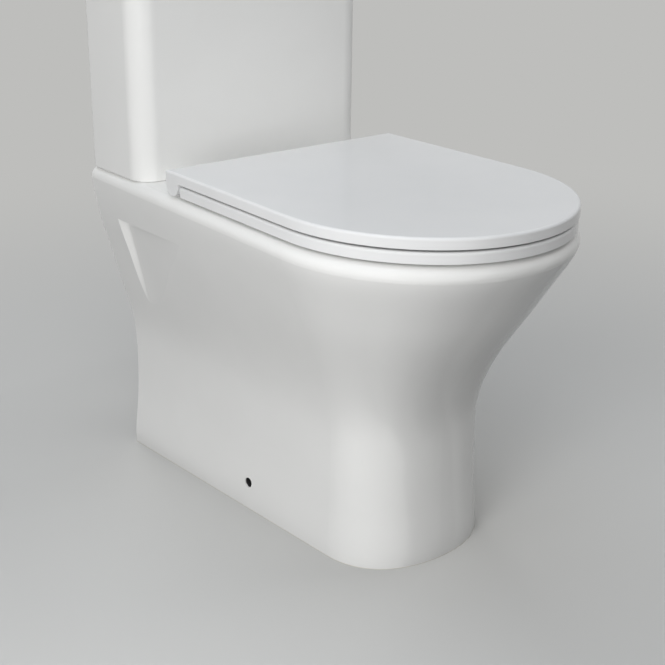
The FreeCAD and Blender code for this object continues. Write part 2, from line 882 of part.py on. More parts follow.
def cistern_lid():
    """The lid: a hollow slab that rests on the tank's edge, with ribs that keep it in place."""
    half = cistern_half_width + cistern_lid_overhang
    front = cistern_depth + cistern_lid_overhang
    front_round = cistern_front_round + cistern_lid_overhang
    slab = rounded_panel(half, 0, front, cistern_top, cistern_lid_top, front_round, cistern_back_round)
    slab = slab.makeFillet(cistern_lid_round, edges_at_height(slab, cistern_lid_top))
    hollow = rounded_panel(cistern_half_width - cistern_wall, cistern_wall, cistern_depth - cistern_wall,
                           cistern_top - overrun, cistern_lid_ceiling,
                           cistern_front_round - cistern_wall, cistern_back_round)
    lid = slab.cut(hollow)
    outer = cistern_wall + cistern_lid_rib_gap
    inner = outer + cistern_lid_rib_wall
    reach = cistern_half_width - cistern_front_round - cistern_lid_overhang
    for near, far in ((outer, inner), (cistern_depth - inner, cistern_depth - outer)):
        lid = lid.fuse(block(-reach, reach, near, far, cistern_top - cistern_lid_rib, cistern_lid_ceiling))
    hole = cylinder(bezel_outer + bezel_hole_gap, cistern_lid_ceiling - overrun, cistern_lid_top + overrun,
                    0, flush_distance)
    return lid.cut(hole).Solids[0]


def coupling_seal():
    """The foam ring in the pan's inlet well, squeezed under the tank round the valve's nut."""
    return tube(well_radius - doughnut_gap, valve_nut_radius + valve_nut_lug + doughnut_gap,
                well_floor, deck, 0, flush_distance)


def coupling_bolts():
    """The two bolts that hold the tank down on the deck."""
    head_bottom = cistern_bed + bolt_seal_height
    head = hexagon(bolt_head_radius, head_bottom, head_bottom + bolt_head_height, bolt_place, flush_distance)
    shank = cylinder(bolt_radius, head_bottom - bolt_length, head_bottom, bolt_place, flush_distance)
    return pair(head.fuse(shank))


def coupling_seals():
    """The rubber washer under each bolt head."""
    return pair(tube(bolt_seal_radius, bolt_radius + thread_clearance, cistern_bed,
                     cistern_bed + bolt_seal_height, bolt_place, flush_distance))


def coupling_washers():
    """The flat washer under the deck on each bolt."""
    return pair(tube(bolt_washer_radius, bolt_radius + thread_clearance, deck_underside - bolt_washer_height,
                     deck_underside, bolt_place, flush_distance))


def wing_nuts():
    """The wing nut on each bolt, below the deck."""
    top = deck_underside - bolt_washer_height
    low = top - wing_hub_height
    nut = cylinder(wing_hub_radius, low, top, bolt_place, flush_distance)
    wings = block(bolt_place - wing_thickness / 2, bolt_place + wing_thickness / 2,
                  flush_distance - wing_span, flush_distance + wing_span,
                  top - wing_height, top - wing_thickness)
    bore = cylinder(bolt_radius + thread_clearance, top - wing_height, top, bolt_place, flush_distance)
    return pair(nut.fuse(wings).cut(bore))


def flush_valve_base():
    """The valve's foot: threaded tail through the tank's floor, flange and raised seat."""
    tail_end = deck - valve_tail_reach
    base = cylinder(valve_tail_radius, tail_end, valve_flange_bottom, 0, flush_distance)
    base = base.fuse(cylinder(valve_flange_radius, valve_flange_bottom, valve_flange_top, 0, flush_distance))
    base = base.fuse(cylinder(valve_bore + valve_seat_wall, valve_flange_top, valve_seat, 0, flush_distance))
    return base.cut(cylinder(valve_bore, tail_end, valve_seat, 0, flush_distance))


def flush_valve_gasket():
    """The flat gasket between the flange and the tank's floor."""
    return tube(valve_flange_radius, valve_tail_radius + thread_clearance,
                cistern_bed, valve_flange_bottom, 0, flush_distance)


def flush_valve_nut():
    """The large nut below the tank, with lugs round its edge to grip."""
    low = deck - valve_nut_height
    nut = cylinder(valve_nut_radius, low, deck, 0, flush_distance)
    for lug in range(valve_nut_lugs):
        angle = 2 * math.pi * lug / valve_nut_lugs
        place = valve_nut_radius - valve_nut_lug
        nut = nut.fuse(cylinder(2 * valve_nut_lug, low, deck, place * math.cos(angle),
                                flush_distance + place * math.sin(angle)))
    return nut.cut(cylinder(valve_tail_radius + thread_clearance, low, deck, 0, flush_distance))


def radial_cuts(count, width, low, high):
    """Slots cut right through an upright tube on the flush valve's axis."""
    cuts = []
    for step in range(count // 2):
        slot = block(-width / 2, width / 2, flush_distance - tower_radius - overrun,
                     flush_distance + tower_radius + overrun, low, high)
        slot.rotate(at(0, flush_distance, low), Vector(0, 0, 1), 360 * step / count)
        cuts.append(slot)
    return Part.makeCompound(cuts)


def flush_valve_tower():
    """The cage: ports at its foot, slots up its sides, a guide for the tube and a closed head."""
    low = valve_flange_top
    tower = tube(tower_radius, tower_radius - tower_wall, low, tower_head, 0, flush_distance)
    tower = tower.cut(radial_cuts(tower_ports, port_width, low + port_lift, low + port_lift + port_height))
    tower = tower.cut(radial_cuts(tower_ports, slot_width, low + slot_lift, low + slot_lift + slot_height))
    tower = tower.cut(radial_cuts(tower_ports, port_width, tower_head - port_height, tower_head - port_lift))
    head = cylinder(tower_radius, tower_head, tower_top, 0, flush_distance)
    head = head.makeFillet(tower_head_round, edges_at_height(head, tower_top))
    for place in (full_rod_place, half_rod_place):
        head = head.cut(cylinder(plunger_radius + sliding_clearance, tower_top - plunger_well, tower_top,
                                 place, flush_distance))
    guide_low = tower_head - guide_room
    guide_bore = overflow_radius + sliding_clearance
    guide = cylinder(guide_bore + guide_wall, guide_low, guide_low + guide_height, 0, flush_distance)
    arm_reach = tower_radius - tower_wall / 2
    for step in range(tower_ports // 2):
        arm = block(-arm_reach, arm_reach, flush_distance - guide_arm_width / 2,
                    flush_distance + guide_arm_width / 2, guide_low, guide_low + guide_height)
        arm.rotate(at(0, flush_distance, guide_low), Vector(0, 0, 1), 45 + 360 * step / tower_ports)
        guide = guide.fuse(arm)
    guide = guide.cut(cylinder(guide_bore, guide_low, guide_low + guide_height, 0, flush_distance))
    return tower.fuse(head).fuse(guide).Solids[0]


def overflow_tube():
    """The tube that lifts to flush, with the plate that carries the seal."""
    low = valve_seat + flush_seal_height
    high = tower_head - overflow_room
    part = cylinder(overflow_radius, low, high, 0, flush_distance)
    part = part.fuse(cylinder(overflow_plate_radius, low, low + overflow_plate_height, 0, flush_distance))
    return part.cut(cylinder(overflow_radius - overflow_wall, low, high, 0, flush_distance))


def flush_seal():
    """The rubber ring that closes the valve's seat."""
    return tube(flush_seal_radius, overflow_radius - overflow_wall, valve_seat,
                valve_seat + flush_seal_height, 0, flush_distance)


def plunger(place):
    """A plunger in the tower's head, pressed by a button's rod."""
    low = plunger_top - plunger_height
    stem = cylinder(plunger_radius, low, plunger_top, place, flush_distance)
    cap = cylinder(plunger_cap_radius, plunger_top - plunger_cap_height, plunger_top, place, flush_distance)
    return stem.fuse(cap)


def button_bezel():
    """The button's housing: a rim on the lid, a cup through it and holes for the rods."""
    cup = cylinder(bezel_outer, bezel_bottom, cistern_lid_top, 0, flush_distance)
    rim = cylinder(bezel_radius, cistern_lid_top, bezel_top, 0, flush_distance)
    rim = rim.makeFillet(bezel_round, edges_at_height(rim, bezel_top))
    housing = cup.fuse(rim)
    housing = housing.cut(cylinder(bezel_bore, bezel_bottom + bezel_floor, bezel_top, 0, flush_distance))
    for place in (full_rod_place, half_rod_place):
        housing = housing.cut(cylinder(rod_radius + rod_hole_gap, bezel_bottom, bezel_bottom + bezel_floor,
                                       place, flush_distance))
    return housing


def button_nut():
    """The ring nut that holds the housing under the lid."""
    return tube(bezel_nut_radius, bezel_outer + thread_clearance, cistern_lid_ceiling - bezel_nut_height,
                cistern_lid_ceiling, 0, flush_distance)


def button(side, rod_place):
    """One part of the split button: a hollow cap with a boss for its rod."""
    edge = button_split + side * button_split_gap / 2
    keep_low, keep_high = sorted((edge, side * button_radius))
    keep = block(keep_low, keep_high, flush_distance - button_radius, flush_distance + button_radius,
                 button_bottom, button_top)
    cap = cylinder(button_radius, button_bottom, button_top, 0, flush_distance).common(keep)
    cap = cap.makeFillet(button_round, edges_at_height(cap, button_top))
    room_low, room_high = sorted((edge + side * button_wall, side * button_radius))
    room = block(room_low, room_high, flush_distance - button_radius, flush_distance + button_radius,
                 button_bottom, button_ceiling)
    inside = cylinder(button_radius - button_wall, button_bottom, button_ceiling, 0, flush_distance)
    boss = cylinder(rod_radius + button_wall, button_bottom, button_ceiling, rod_place, flush_distance)
    cap = cap.cut(room.common(inside).cut(boss))
    bore = cylinder(rod_radius + press_clearance, button_bottom, button_ceiling, rod_place, flush_distance)
    return cap.cut(bore)


def push_rod(place):
    """The rod from a button down to its plunger."""
    return cylinder(rod_radius, plunger_top + spring_seat, button_ceiling, place, flush_distance)


def button_spring(place):
    """The coil spring round a rod, between the housing's floor and the button's boss."""
    low = bezel_bottom + bezel_floor + spring_wire + spring_seat
    high = button_bottom - spring_wire - spring_seat
    steps = 4 * spring_turns

    def on_coil(step):
        angle = math.pi / 2 * step
        return at(place + spring_radius * math.cos(angle), flush_distance + spring_radius * math.sin(angle),
                  low + (high - low) * step / steps)

    arcs = [Part.Arc(on_coil(step), on_coil(step + 1 / 2), on_coil(step + 1)) for step in range(steps)]
    edges = [arc.toShape() for arc in arcs]
    path = Part.Wire(edges)
    start = edges[0]
    ring = Part.Wire(Part.makeCircle(spring_wire, on_coil(0), start.tangentAt(start.FirstParameter)))
    points = [on_coil(step) for step in range(steps + 1)]
    apart = [here.distanceToPoint(there)
             for index, here in enumerate(points) for there in points[index + 3:]]
    print("spring: least gap between turns", round(min(apart) - 2 * spring_wire, 2))
    return path.makePipeShell([ring], True, False)


def fill_valve_riser():
    """The inlet: tail for the supply, neck, shank for the nut, flange, riser and the float's collar."""
    shank_end = deck - fill_shank_end
    neck_end = shank_end - fill_neck_height
    tail_end = neck_end - fill_tail_length
    steps = [
        (fill_tail_radius, tail_end, neck_end),
        (fill_neck_radius, neck_end, shank_end),
        (fill_shank_radius, shank_end, fill_flange_bottom),
        (fill_flange_radius, fill_flange_bottom, fill_flange_top),
        (riser_radius, fill_flange_top, riser_top),
    ]
    stem = [cylinder(radius, low, high, fill_place, flush_distance) for radius, low, high in steps]
    collar = cylinder(float_stop_radius, float_bottom - float_stop_height, float_bottom,
                      fill_place, flush_distance)
    riser = stem[0].multiFuse(stem[1:] + [collar])
    return riser.cut(cylinder(fill_bore, tail_end, riser_top, fill_place, flush_distance))


def fill_valve_gasket():
    """The gasket between the inlet's flange and the tank's floor."""
    return tube(fill_flange_radius, fill_shank_radius + thread_clearance, cistern_bed, fill_flange_bottom,
                fill_place, flush_distance)


def fill_valve_nut():
    """The nut under the tank's floor, inside the deck's hole."""
    nut = hexagon(fill_nut_radius, deck - fill_nut_height, deck, fill_place, flush_distance)
    return nut.cut(cylinder(fill_shank_radius + thread_clearance, deck - fill_nut_height, deck,
                            fill_place, flush_distance))


def fill_valve_head():
    """The valve's cap on the riser, with the lug and pin that carry the lever."""
    top = riser_top + fill_head_height
    head = cylinder(fill_head_radius, riser_top, top, fill_place, flush_distance)
    head = head.makeFillet(fill_head_round, edges_at_height(head, top))
    lug_face = lever_distance - lever_thickness / 2 - link_collar_gap
    lug = block(fill_place, lever_place + lever_pin_radius, flush_distance, lug_face,
                lever_axis_height - lever_lug / 2, lever_axis_height + lever_lug / 2)
    pin = cylinder_out(lever_pin_radius, lug_face, lever_distance + lever_thickness / 2 + lever_slot_gap,
                       lever_place, lever_axis_height)
    return head.fuse(lug).fuse(pin).Solids[0]


def fill_float():
    """The float: an upturned cup round the riser, closed at the top."""
    bore = riser_radius + sliding_clearance
    cup = cylinder(float_radius, float_bottom, float_top, fill_place, flush_distance)
    cup = cup.makeFillet(float_wall, edges_at_height(cup, float_top))
    room = tube(float_radius - float_wall, bore + float_wall, float_bottom + float_wall,
                float_top - float_wall, fill_place, flush_distance)
    mouth = tube(float_radius - float_wall, float_stop_radius + float_wall, float_bottom,
                 float_bottom + float_wall, fill_place, flush_distance)
    cup = cup.cut(room).cut(mouth)
    return cup.cut(cylinder(bore, float_bottom, float_top, fill_place, flush_distance)).Solids[0]


def float_link():
    """The rod on the float that lifts the lever between two collars."""
    rod = cylinder(link_radius, float_top, link_height + lever_height + link_top, link_place, lever_distance)
    lower = link_height - lever_height / 2 - link_collar_gap - link_collar_height
    upper = link_height + lever_height / 2 + link_collar_gap
    for low in (lower, upper):
        collar = cylinder(link_collar_radius, low, low + link_collar_height, link_place, lever_distance)
        rod = rod.fuse(collar)
    return rod


def float_lever():
    """The lever on the valve's head, resting low because the tank is empty."""
    near = lever_distance - lever_thickness / 2
    far = lever_distance + lever_thickness / 2
    bar = block(lever_place - lever_length, lever_place, near, far,
                lever_axis_height - lever_height / 2, lever_axis_height + lever_height / 2)
    boss = cylinder_out(lever_boss_radius, near, far, lever_place, lever_axis_height)
    bore = cylinder_out(lever_pin_radius + running_clearance, near, far, lever_place, lever_axis_height)
    eye_radius = link_radius + lever_slot_gap
    end = cylinder(eye_radius + lever_slot_gap, lever_axis_height - lever_height / 2,
                   lever_axis_height + lever_height / 2, lever_place - lever_length, lever_distance)
    eye = cylinder(eye_radius, lever_axis_height - lever_height,
                   lever_axis_height + lever_height, lever_place - lever_length, lever_distance)
    lever = bar.fuse(boss).fuse(end).cut(bore).cut(eye)
    pivot = at(lever_place, lever_distance, lever_axis_height)
    lever.rotate(pivot, Vector(0, 1, 0), -math.degrees(lever_rest))
    return lever


def pieces():
    """Every node's name and its shape."""
    return {
        "pan": pan(),
        "bowl": bowl(),
        "trap": trap(),
        "seat_ring": seat_ring(),
        "seat_lid": seat_lid(),
        "hinge_posts": hinge_posts(),
        "hinge_pins": hinge_pins(),
        "hinge_dampers": hinge_dampers(),
        "ring_bushes": ring_bushes(),
        "hinge_gaskets": hinge_gaskets(),
        "hinge_washers": hinge_washers(),
        "hinge_nuts": hinge_nuts(),
        "ring_buffers": buffer_pads(deck, ring_bottom),
        "lid_buffers": buffer_pads(ring_top, lid_underside),
        "cistern": cistern(),
        "cistern_lid": cistern_lid(),
        "coupling_seal": coupling_seal(),
        "coupling_bolts": coupling_bolts(),
        "coupling_seals": coupling_seals(),
        "coupling_washers": coupling_washers(),
        "wing_nuts": wing_nuts(),
        "flush_valve_base": flush_valve_base(),
        "flush_valve_gasket": flush_valve_gasket(),
        "flush_valve_nut": flush_valve_nut(),
        "flush_valve_tower": flush_valve_tower(),
        "overflow_tube": overflow_tube(),
        "flush_seal": flush_seal(),
        "full_flush_plunger": plunger(full_rod_place),
        "half_flush_plunger": plunger(half_rod_place),
        "button_bezel": button_bezel(),
        "button_nut": button_nut(),
        "full_flush_button": button(-1, full_rod_place),
        "half_flush_button": button(1, half_rod_place),
        "full_flush_rod": push_rod(full_rod_place),
        "half_flush_rod": push_rod(half_rod_place),
        "full_flush_spring": button_spring(full_rod_place),
        "half_flush_spring": button_spring(half_rod_place),
        "fill_valve_riser": fill_valve_riser(),
        "fill_valve_gasket": fill_valve_gasket(),
        "fill_valve_nut": fill_valve_nut(),
        "fill_valve_head": fill_valve_head(),
        "fill_float": fill_float(),
        "float_link": float_link(),
        "float_lever": float_lever(),
    }


os.makedirs("parts", exist_ok=True)
for name, shape in pieces().items():
    shape.exportStep(os.path.join("parts", name + ".step"))
    print(name, len(shape.Solids), shape.isValid(), round(shape.Volume / 1000, 1))
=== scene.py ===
import json
import math

import bmesh
import bpy
from mathutils import Matrix, Vector


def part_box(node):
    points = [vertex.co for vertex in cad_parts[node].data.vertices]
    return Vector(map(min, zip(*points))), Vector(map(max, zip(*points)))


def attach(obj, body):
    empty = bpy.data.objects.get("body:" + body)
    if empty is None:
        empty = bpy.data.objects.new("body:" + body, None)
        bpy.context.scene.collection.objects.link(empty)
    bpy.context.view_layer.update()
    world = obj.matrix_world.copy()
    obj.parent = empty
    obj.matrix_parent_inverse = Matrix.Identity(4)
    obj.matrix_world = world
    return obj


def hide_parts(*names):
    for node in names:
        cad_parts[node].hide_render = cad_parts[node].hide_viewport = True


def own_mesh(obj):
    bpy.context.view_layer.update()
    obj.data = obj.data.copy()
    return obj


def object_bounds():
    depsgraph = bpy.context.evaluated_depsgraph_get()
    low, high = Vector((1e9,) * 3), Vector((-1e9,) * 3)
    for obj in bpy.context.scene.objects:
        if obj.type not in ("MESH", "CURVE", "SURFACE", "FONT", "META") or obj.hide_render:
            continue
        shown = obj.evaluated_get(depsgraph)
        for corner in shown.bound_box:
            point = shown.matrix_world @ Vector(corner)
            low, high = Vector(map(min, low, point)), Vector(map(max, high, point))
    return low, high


bl_info = {
    "name": "Close-coupled toilet",
    "version": (1, 0, 0),
    "blender": (4, 5, 0),
    "location": "3D View > Sidebar > Toilet",
    "description": "Finishes, fittings and stage for a close-coupled back-to-wall toilet",
    "category": "Object",
}

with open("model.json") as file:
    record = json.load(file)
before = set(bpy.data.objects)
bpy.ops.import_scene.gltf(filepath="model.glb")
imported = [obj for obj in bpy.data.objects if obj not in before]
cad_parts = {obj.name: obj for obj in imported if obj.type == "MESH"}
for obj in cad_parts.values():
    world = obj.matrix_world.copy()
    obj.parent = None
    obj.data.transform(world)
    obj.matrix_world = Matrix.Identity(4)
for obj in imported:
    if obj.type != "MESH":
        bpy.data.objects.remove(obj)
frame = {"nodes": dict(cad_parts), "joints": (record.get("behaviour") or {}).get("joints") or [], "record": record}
cad_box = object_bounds()

MM = 0.001
SLOT_OF_NODE = {row["node"]: row["material_slot"] for row in frame["record"]["subparts"]}
BODY_OF_NODE = {
    node: body for body, nodes in frame["record"]["behaviour"]["bodies"].items() for node in nodes}
JOINTS = {joint["name"]: joint for joint in frame["joints"]}

UP = (0, 0, 1)
ORIGIN = Vector((0, 0, 0))
FULL_TURN = 2 * math.pi
QUARTER_TURN = math.pi / 2
SHARP_ANGLE = math.radians(35)

# Steps round a turned piece, a bore, a wire, a softened edge and the floor
TURN_STEPS = 48
BORE_STEPS = 24
WIRE_STEPS = 12
EDGE_STEPS = 3
FLOOR_STEPS = 64
NUT_SIDES = 6

# How near corners are to be one corner, to share a level, and to lie on a cut
MERGE_GAP = 0.002 * MM
LEVEL_GAP = 10 * MERGE_GAP
CUT_GAP = MERGE_GAP / 10
# Decimals of a metre by which a tube's levels and radii are told apart
LEVEL_DIGITS = 5
RADIUS_DIGITS = 4

# A thread's profile, as shares of its pitch
CREST_START = 3 / 8
CREST_END = 1 / 2
ROOT_START = 7 / 8
# A rubber foot's outline from its dish to the face it is held by, as shares of radius and height
PAD_OUTLINE = ((0, 0.16), (0.34, 0.16), (0.46, 0), (0.72, 0), (0.9, 0.2), (1, 1), (0, 1))
PAD_ROUND = 0.12
# A wing nut: levels as shares of its height, radii as shares of its hub
HUB_FOOT_LEVEL = 0.31
HUB_FOOT_RADIUS = 0.78
HUB_COLLAR_HEIGHT = 0.2
WING_ROOT_RADIUS = 0.6
WING_HALF_HEIGHT = 0.36
# What the closed end turn of a spring climbs, in radii of its wire
CLOSED_TURN_CLIMB = 2.1
# Rounding of a sleeve's edges, as a share of its wall
SLEEVE_ROUND = 1 / 3

# Sockets of the Mix node for colours, where names repeat
MIX_SHARE = 0
MIX_FIRST = 6
MIX_SECOND = 7
MIX_RESULT = 2


def linear(hex_colour):
    """The linear colour of an sRGB hex value, by the standard's own curve."""
    channels = [int(hex_colour[place:place + 2], 16) / 255 for place in (1, 3, 5)]
    return [c / 12.92 if c <= 0.04045 else ((c + 0.055) / 1.055) ** 2.4 for c in channels]


def colour_property(label, hex_colour, description):
    """A colour that a user may change."""
    return bpy.props.FloatVectorProperty(
        name=label, description=description, subtype="COLOR", min=0, max=1,
        default=linear(hex_colour))


def length_property(label, millimetres, description):
    """A length that a user may change, given in millimetres."""
    return bpy.props.FloatProperty(
        name=label, description=description, subtype="DISTANCE", unit="LENGTH",
        default=millimetres * MM)


def angle_property(label, degrees, description):
    """An angle that a user may change, given in degrees."""
    return bpy.props.FloatProperty(
        name=label, description=description, subtype="ANGLE", unit="ROTATION",
        default=math.radians(degrees))


def place_property(label, place, description):
    """A place that a user may change, in metres."""
    return bpy.props.FloatVectorProperty(
        name=label, description=description, subtype="TRANSLATION", unit="LENGTH", default=place)


def power_property(label, watts, description):
    """A lamp's power that a user may change."""
    return bpy.props.FloatProperty(
        name=label, description=description, unit="POWER", min=0, default=watts)


class ToiletFinishes(bpy.types.PropertyGroup):
    """Colours and grain of every finish."""

    glaze: colour_property("Glaze", "#F1F1EF", "White glaze on the china")
    glaze_thin: colour_property("Thin glaze", "#ECECEA", "Glaze where it lies a little thinner")
    bare_china: colour_property("Bare china", "#DEDAD0", "Unglazed foot that stood in the kiln")
    glaze_ripple: length_property("Glaze ripple", 38, "Length of the soft ripple in the glaze")
    glaze_pool: length_property("Glaze pool", 90, "Size of the patches where the glaze is thinner")
    bare_height: length_property("Bare foot", 0.5, "Height of the unglazed edge at the floor")
    seat: colour_property("Seat", "#EDEDED", "White of the moulded seat and lid")
    seat_shade: colour_property("Seat shade", "#E8E9E9", "Slightly deeper flow marks of the seat")
    seat_flow: length_property("Seat flow", 60, "Size of the flow marks in the moulding")
    chrome: colour_property("Chrome", "#D8DADC", "Bright chromium plating")
    chrome_wipe: length_property("Chrome wipe marks", 3, "Size of faint wipe marks on the plating")
    zinc: colour_property("Zinc", "#B4B6B8", "Zinc plating on the steel")
    zinc_dull: colour_property("Dull zinc", "#8F9294", "Passivated patches of the plating")
    zinc_grain: length_property("Zinc grain", 2.5, "Size of the patches on the plating")
    grey: colour_property("Grey acetal", "#5D6166", "Grey moulded fittings")
    grey_light: colour_property("Light grey acetal", "#6C7075", "Paler flow marks in the grey")
    white: colour_property("White polypropylene", "#E4E4DF", "White moulded fittings")
    white_warm: colour_property("Warm polypropylene", "#DBDAD2", "Warmer flow marks in the white")
    moulding_grain: length_property("Moulding grain", 1.5, "Grain of the fittings' moulds")
    moulding_flow: length_property("Moulding flow", 18, "Size of the flow marks in the fittings")
    pale_rubber: colour_property("Pale rubber", "#D2D1CC", "Soft pads and gaskets that show")
    black_rubber: colour_property("Black rubber", "#1D1D1E", "Hidden seals and washers")
    black_bloom: colour_property("Rubber bloom", "#2B2B2C", "Grey bloom on the black rubber")
    rubber_grain: length_property("Rubber grain", 2, "Size of the bloom on the rubber")


class ToiletFittings(bpy.types.PropertyGroup):
    """Sizes of the small fittings that the frame's own boxes don't give."""

    bolt_pitch: length_property("Bolt pitch", 1.25, "Thread of the bolts and the hinge posts")
    supply_pitch: length_property("Supply pitch", 1.814, "Half-inch pipe thread of the water inlet")
    shank_pitch: length_property("Shank pitch", 2, "Thread of the fill valve's shank")
    tail_pitch: length_property("Tail pitch", 3, "Coarse thread of the flush valve's tail")
    thread_depth: bpy.props.FloatProperty(
        name="Thread depth", description="Depth of a thread as a share of its pitch",
        default=0.58, min=0.1, max=0.8)
    metal_round: length_property("Metal edge", 0.7, "Rounding of the metal pieces' edges")
    plastic_round: length_property("Plastic edge", 0.5, "Rounding of the moulded pieces' edges")
    seal_round: bpy.props.FloatProperty(
        name="Seal edge", description="Rounding of a seal as a share of its thickness",
        default=0.32, min=0.05, max=0.45)
    wing_thickness: length_property("Wing", 3.5, "Thickness of a wing nut's wings")
    post_flange_height: length_property("Post flange", 2.5, "Height of a hinge post's flange")
    post_stem_radius: length_property("Post stem", 6.5, "Radius of the stem of a hinge post")
    sleeve_wall: length_property("Sleeve wall", 1.2, "Wall of the sleeves in the fixing holes")
    sleeve_set_in: length_property("Sleeve set-in", 1.6, "How far sleeves stay below the glaze")
    spring_wire: length_property("Spring wire", 0.6, "Radius of the button springs' wire")
    spring_turns: bpy.props.IntProperty(
        name="Spring turns", description="Open turns of a button spring", default=5, min=2, max=8)


class ToiletStage(bpy.types.PropertyGroup):
    """The camera, the light and the floor."""

    floor: colour_property("Floor", "#C9C9C7", "Plain pale floor round the object")
    backdrop: colour_property("Backdrop", "#BEBEBC", "Plain pale tone that the floor runs into")
    floor_bounce: colour_property(
        "Floor bounce", "#6E6E6E", "Floor colour that lights the object from below")
    ambient: colour_property("Ambient", "#FFFFFF", "Colour of the room's even light")
    ambient_strength: bpy.props.FloatProperty(
        name="Ambient strength", description="Strength of the room's even light",
        default=0.08, min=0)
    floor_radius: length_property("Floor radius", 14000, "Reach of the floor round the object")
    fade_start: length_property(
        "Fade start", 550, "Where the lit floor starts to run into the backdrop")
    fade_end: length_property("Fade end", 1900, "Where the floor has become the plain backdrop")
    camera_place: place_property(
        "Camera", (-0.93178, -1.1224, 0.80192), "Where the camera stands")
    camera_turn: angle_property("Camera turn", -39.07, "Turn of the view from the straight front")
    camera_dip: angle_property("Camera dip", 21.33, "How far the camera looks down")
    camera_roll: angle_property("Camera roll", 0.69, "Tilt of the camera's horizon")
    camera_lens: bpy.props.FloatProperty(
        name="Lens", description="Focal length on a 36 mm sensor", unit="CAMERA", default=67.6)
    key_place: place_property(
        "Key light place", (-2.35, -1.65, 1.3), "Where the large front light stands")
    key_size: length_property("Key light size", 2600, "Width of the large front light")
    key_power: power_property("Key light", 47, "Power of the large front light")
    key_sheen: bpy.props.FloatProperty(
        name="Key sheen", description="Share of the front light that shows as a reflection",
        subtype="FACTOR", default=0.75, min=0, max=1)
    high_place: place_property(
        "High light place", (-1.7, -1.7, 2.8), "Where the high front light hangs")
    high_size: length_property("High light size", 2000, "Width of the high front light")
    high_power: power_property("High light", 25, "Power of the high front light")
    side_place: place_property(
        "Side light place", (-2.8, -0.2, 1.5), "Where the left light stands")
    side_size: length_property("Side light size", 2200, "Width of the left light")
    side_power: power_property("Side light", 13, "Power of the left light")
    near_place: place_property(
        "Near light place", (-1.15, -0.65, 0.6), "Where the near left light stands")
    near_size: length_property("Near light size", 500, "Width of the near left light")
    near_power: power_property("Near light", 6.2, "Power of the near left light")
    top_place: place_property(
        "Top light place", (-0.3, 0.1, 3.2), "Where the overhead light hangs")
    top_size: length_property("Top light size", 2600, "Width of the overhead light")
    top_power: power_property("Top light", 22, "Power of the overhead light")
    top_colour: colour_property("Top light colour", "#EAF3FF", "Slightly cool overhead light")
    fill_place: place_property(
        "Fill light place", (2.7, -0.4, 1.6), "Where the right light stands")
    fill_size: length_property("Fill light size", 2200, "Width of the right light")
    fill_power: power_property("Fill light", 29, "Power of the right light")
    back_place: place_property(
        "Back light place", (0.4, 3.0, 1.9), "Where the light behind hangs")
    back_size: length_property("Back light size", 2200, "Width of the light behind")
    back_power: power_property("Back light", 36, "Power of the light behind")


# Materials

def feed(tree, node, inputs):
    """Gives inputs of a node their values, or links from other nodes."""
    for name, value in inputs.items():
        if isinstance(value, bpy.types.NodeSocket):
            tree.links.new(value, node.inputs[name])
        else:
            node.inputs[name].default_value = value


def add(tree, kind, inputs, **settings):
    """Adds one node with its settings and inputs."""
    node = tree.nodes.new("ShaderNode" + kind)
    for name, value in settings.items():
        setattr(node, name, value)
    feed(tree, node, inputs)
    return node


def start_material(name):
    """A material with its tree, its shader, and the coordinates that its patterns follow."""
    material = bpy.data.materials.new(name)
    material.use_nodes = True
    tree = material.node_tree
    shader = tree.nodes["Principled BSDF"]
    where = add(tree, "TexCoord", {}).outputs["Object"]
    return material, tree, shader, where


def opaque(colour):
    """A colour with full alpha."""
    return (*colour, 1)


def glazed_china(finish):
    """Vitreous china, cast in slip and fired under a white glaze."""
    # The glaze gives sharp but faintly rippled highlights and thin, slightly greyer patches; the
    # edge that stood in the kiln is bare, matt and sandy.
    material, tree, shader, where = start_material("vitreous_china_glazed")
    pools = add(tree, "TexNoise", {
        "Vector": where, "Scale": 1 / finish.glaze_pool, "Detail": 2.0})
    glaze = add(tree, "Mix", {
        MIX_SHARE: pools.outputs["Fac"], MIX_FIRST: opaque(finish.glaze),
        MIX_SECOND: opaque(finish.glaze_thin)}, data_type="RGBA")
    height = add(tree, "SeparateXYZ", {"Vector": where}).outputs["Z"]
    glazed = add(tree, "MapRange", {
        "Value": height, "From Min": finish.bare_height, "From Max": 2 * finish.bare_height})
    colour = add(tree, "Mix", {
        MIX_SHARE: glazed.outputs["Result"], MIX_FIRST: opaque(finish.bare_china),
        MIX_SECOND: glaze.outputs[MIX_RESULT]}, data_type="RGBA")
    rough = add(tree, "MapRange", {
        "Value": glazed.outputs["Result"], "To Min": 0.8, "To Max": 0.12})
    ripple = add(tree, "TexNoise", {
        "Vector": where, "Scale": 1 / finish.glaze_ripple, "Detail": 0.0})
    bump = add(tree, "Bump", {
        "Height": ripple.outputs["Fac"], "Strength": 0.12, "Distance": 1 * MM})
    feed(tree, shader, {
        "Base Color": colour.outputs[MIX_RESULT], "Roughness": rough.outputs["Result"],
        "Normal": bump.outputs["Normal"], "IOR": 1.52})
    return material


def polished_seat(finish):
    """Urea resin, pressed in a polished mould."""
    # Hard and dense, so it shines like china but smoother, with barely visible flow marks.
    material, tree, shader, where = start_material("urea_resin_polished")
    flow = add(tree, "TexNoise", {
        "Vector": where, "Scale": 1 / finish.seat_flow, "Detail": 2.0})
    colour = add(tree, "Mix", {
        MIX_SHARE: flow.outputs["Fac"], MIX_FIRST: opaque(finish.seat),
        MIX_SECOND: opaque(finish.seat_shade)}, data_type="RGBA")
    rough = add(tree, "MapRange", {
        "Value": flow.outputs["Fac"], "To Min": 0.07, "To Max": 0.13})
    feed(tree, shader, {
        "Base Color": colour.outputs[MIX_RESULT], "Roughness": rough.outputs["Result"],
        "IOR": 1.55})
    return material


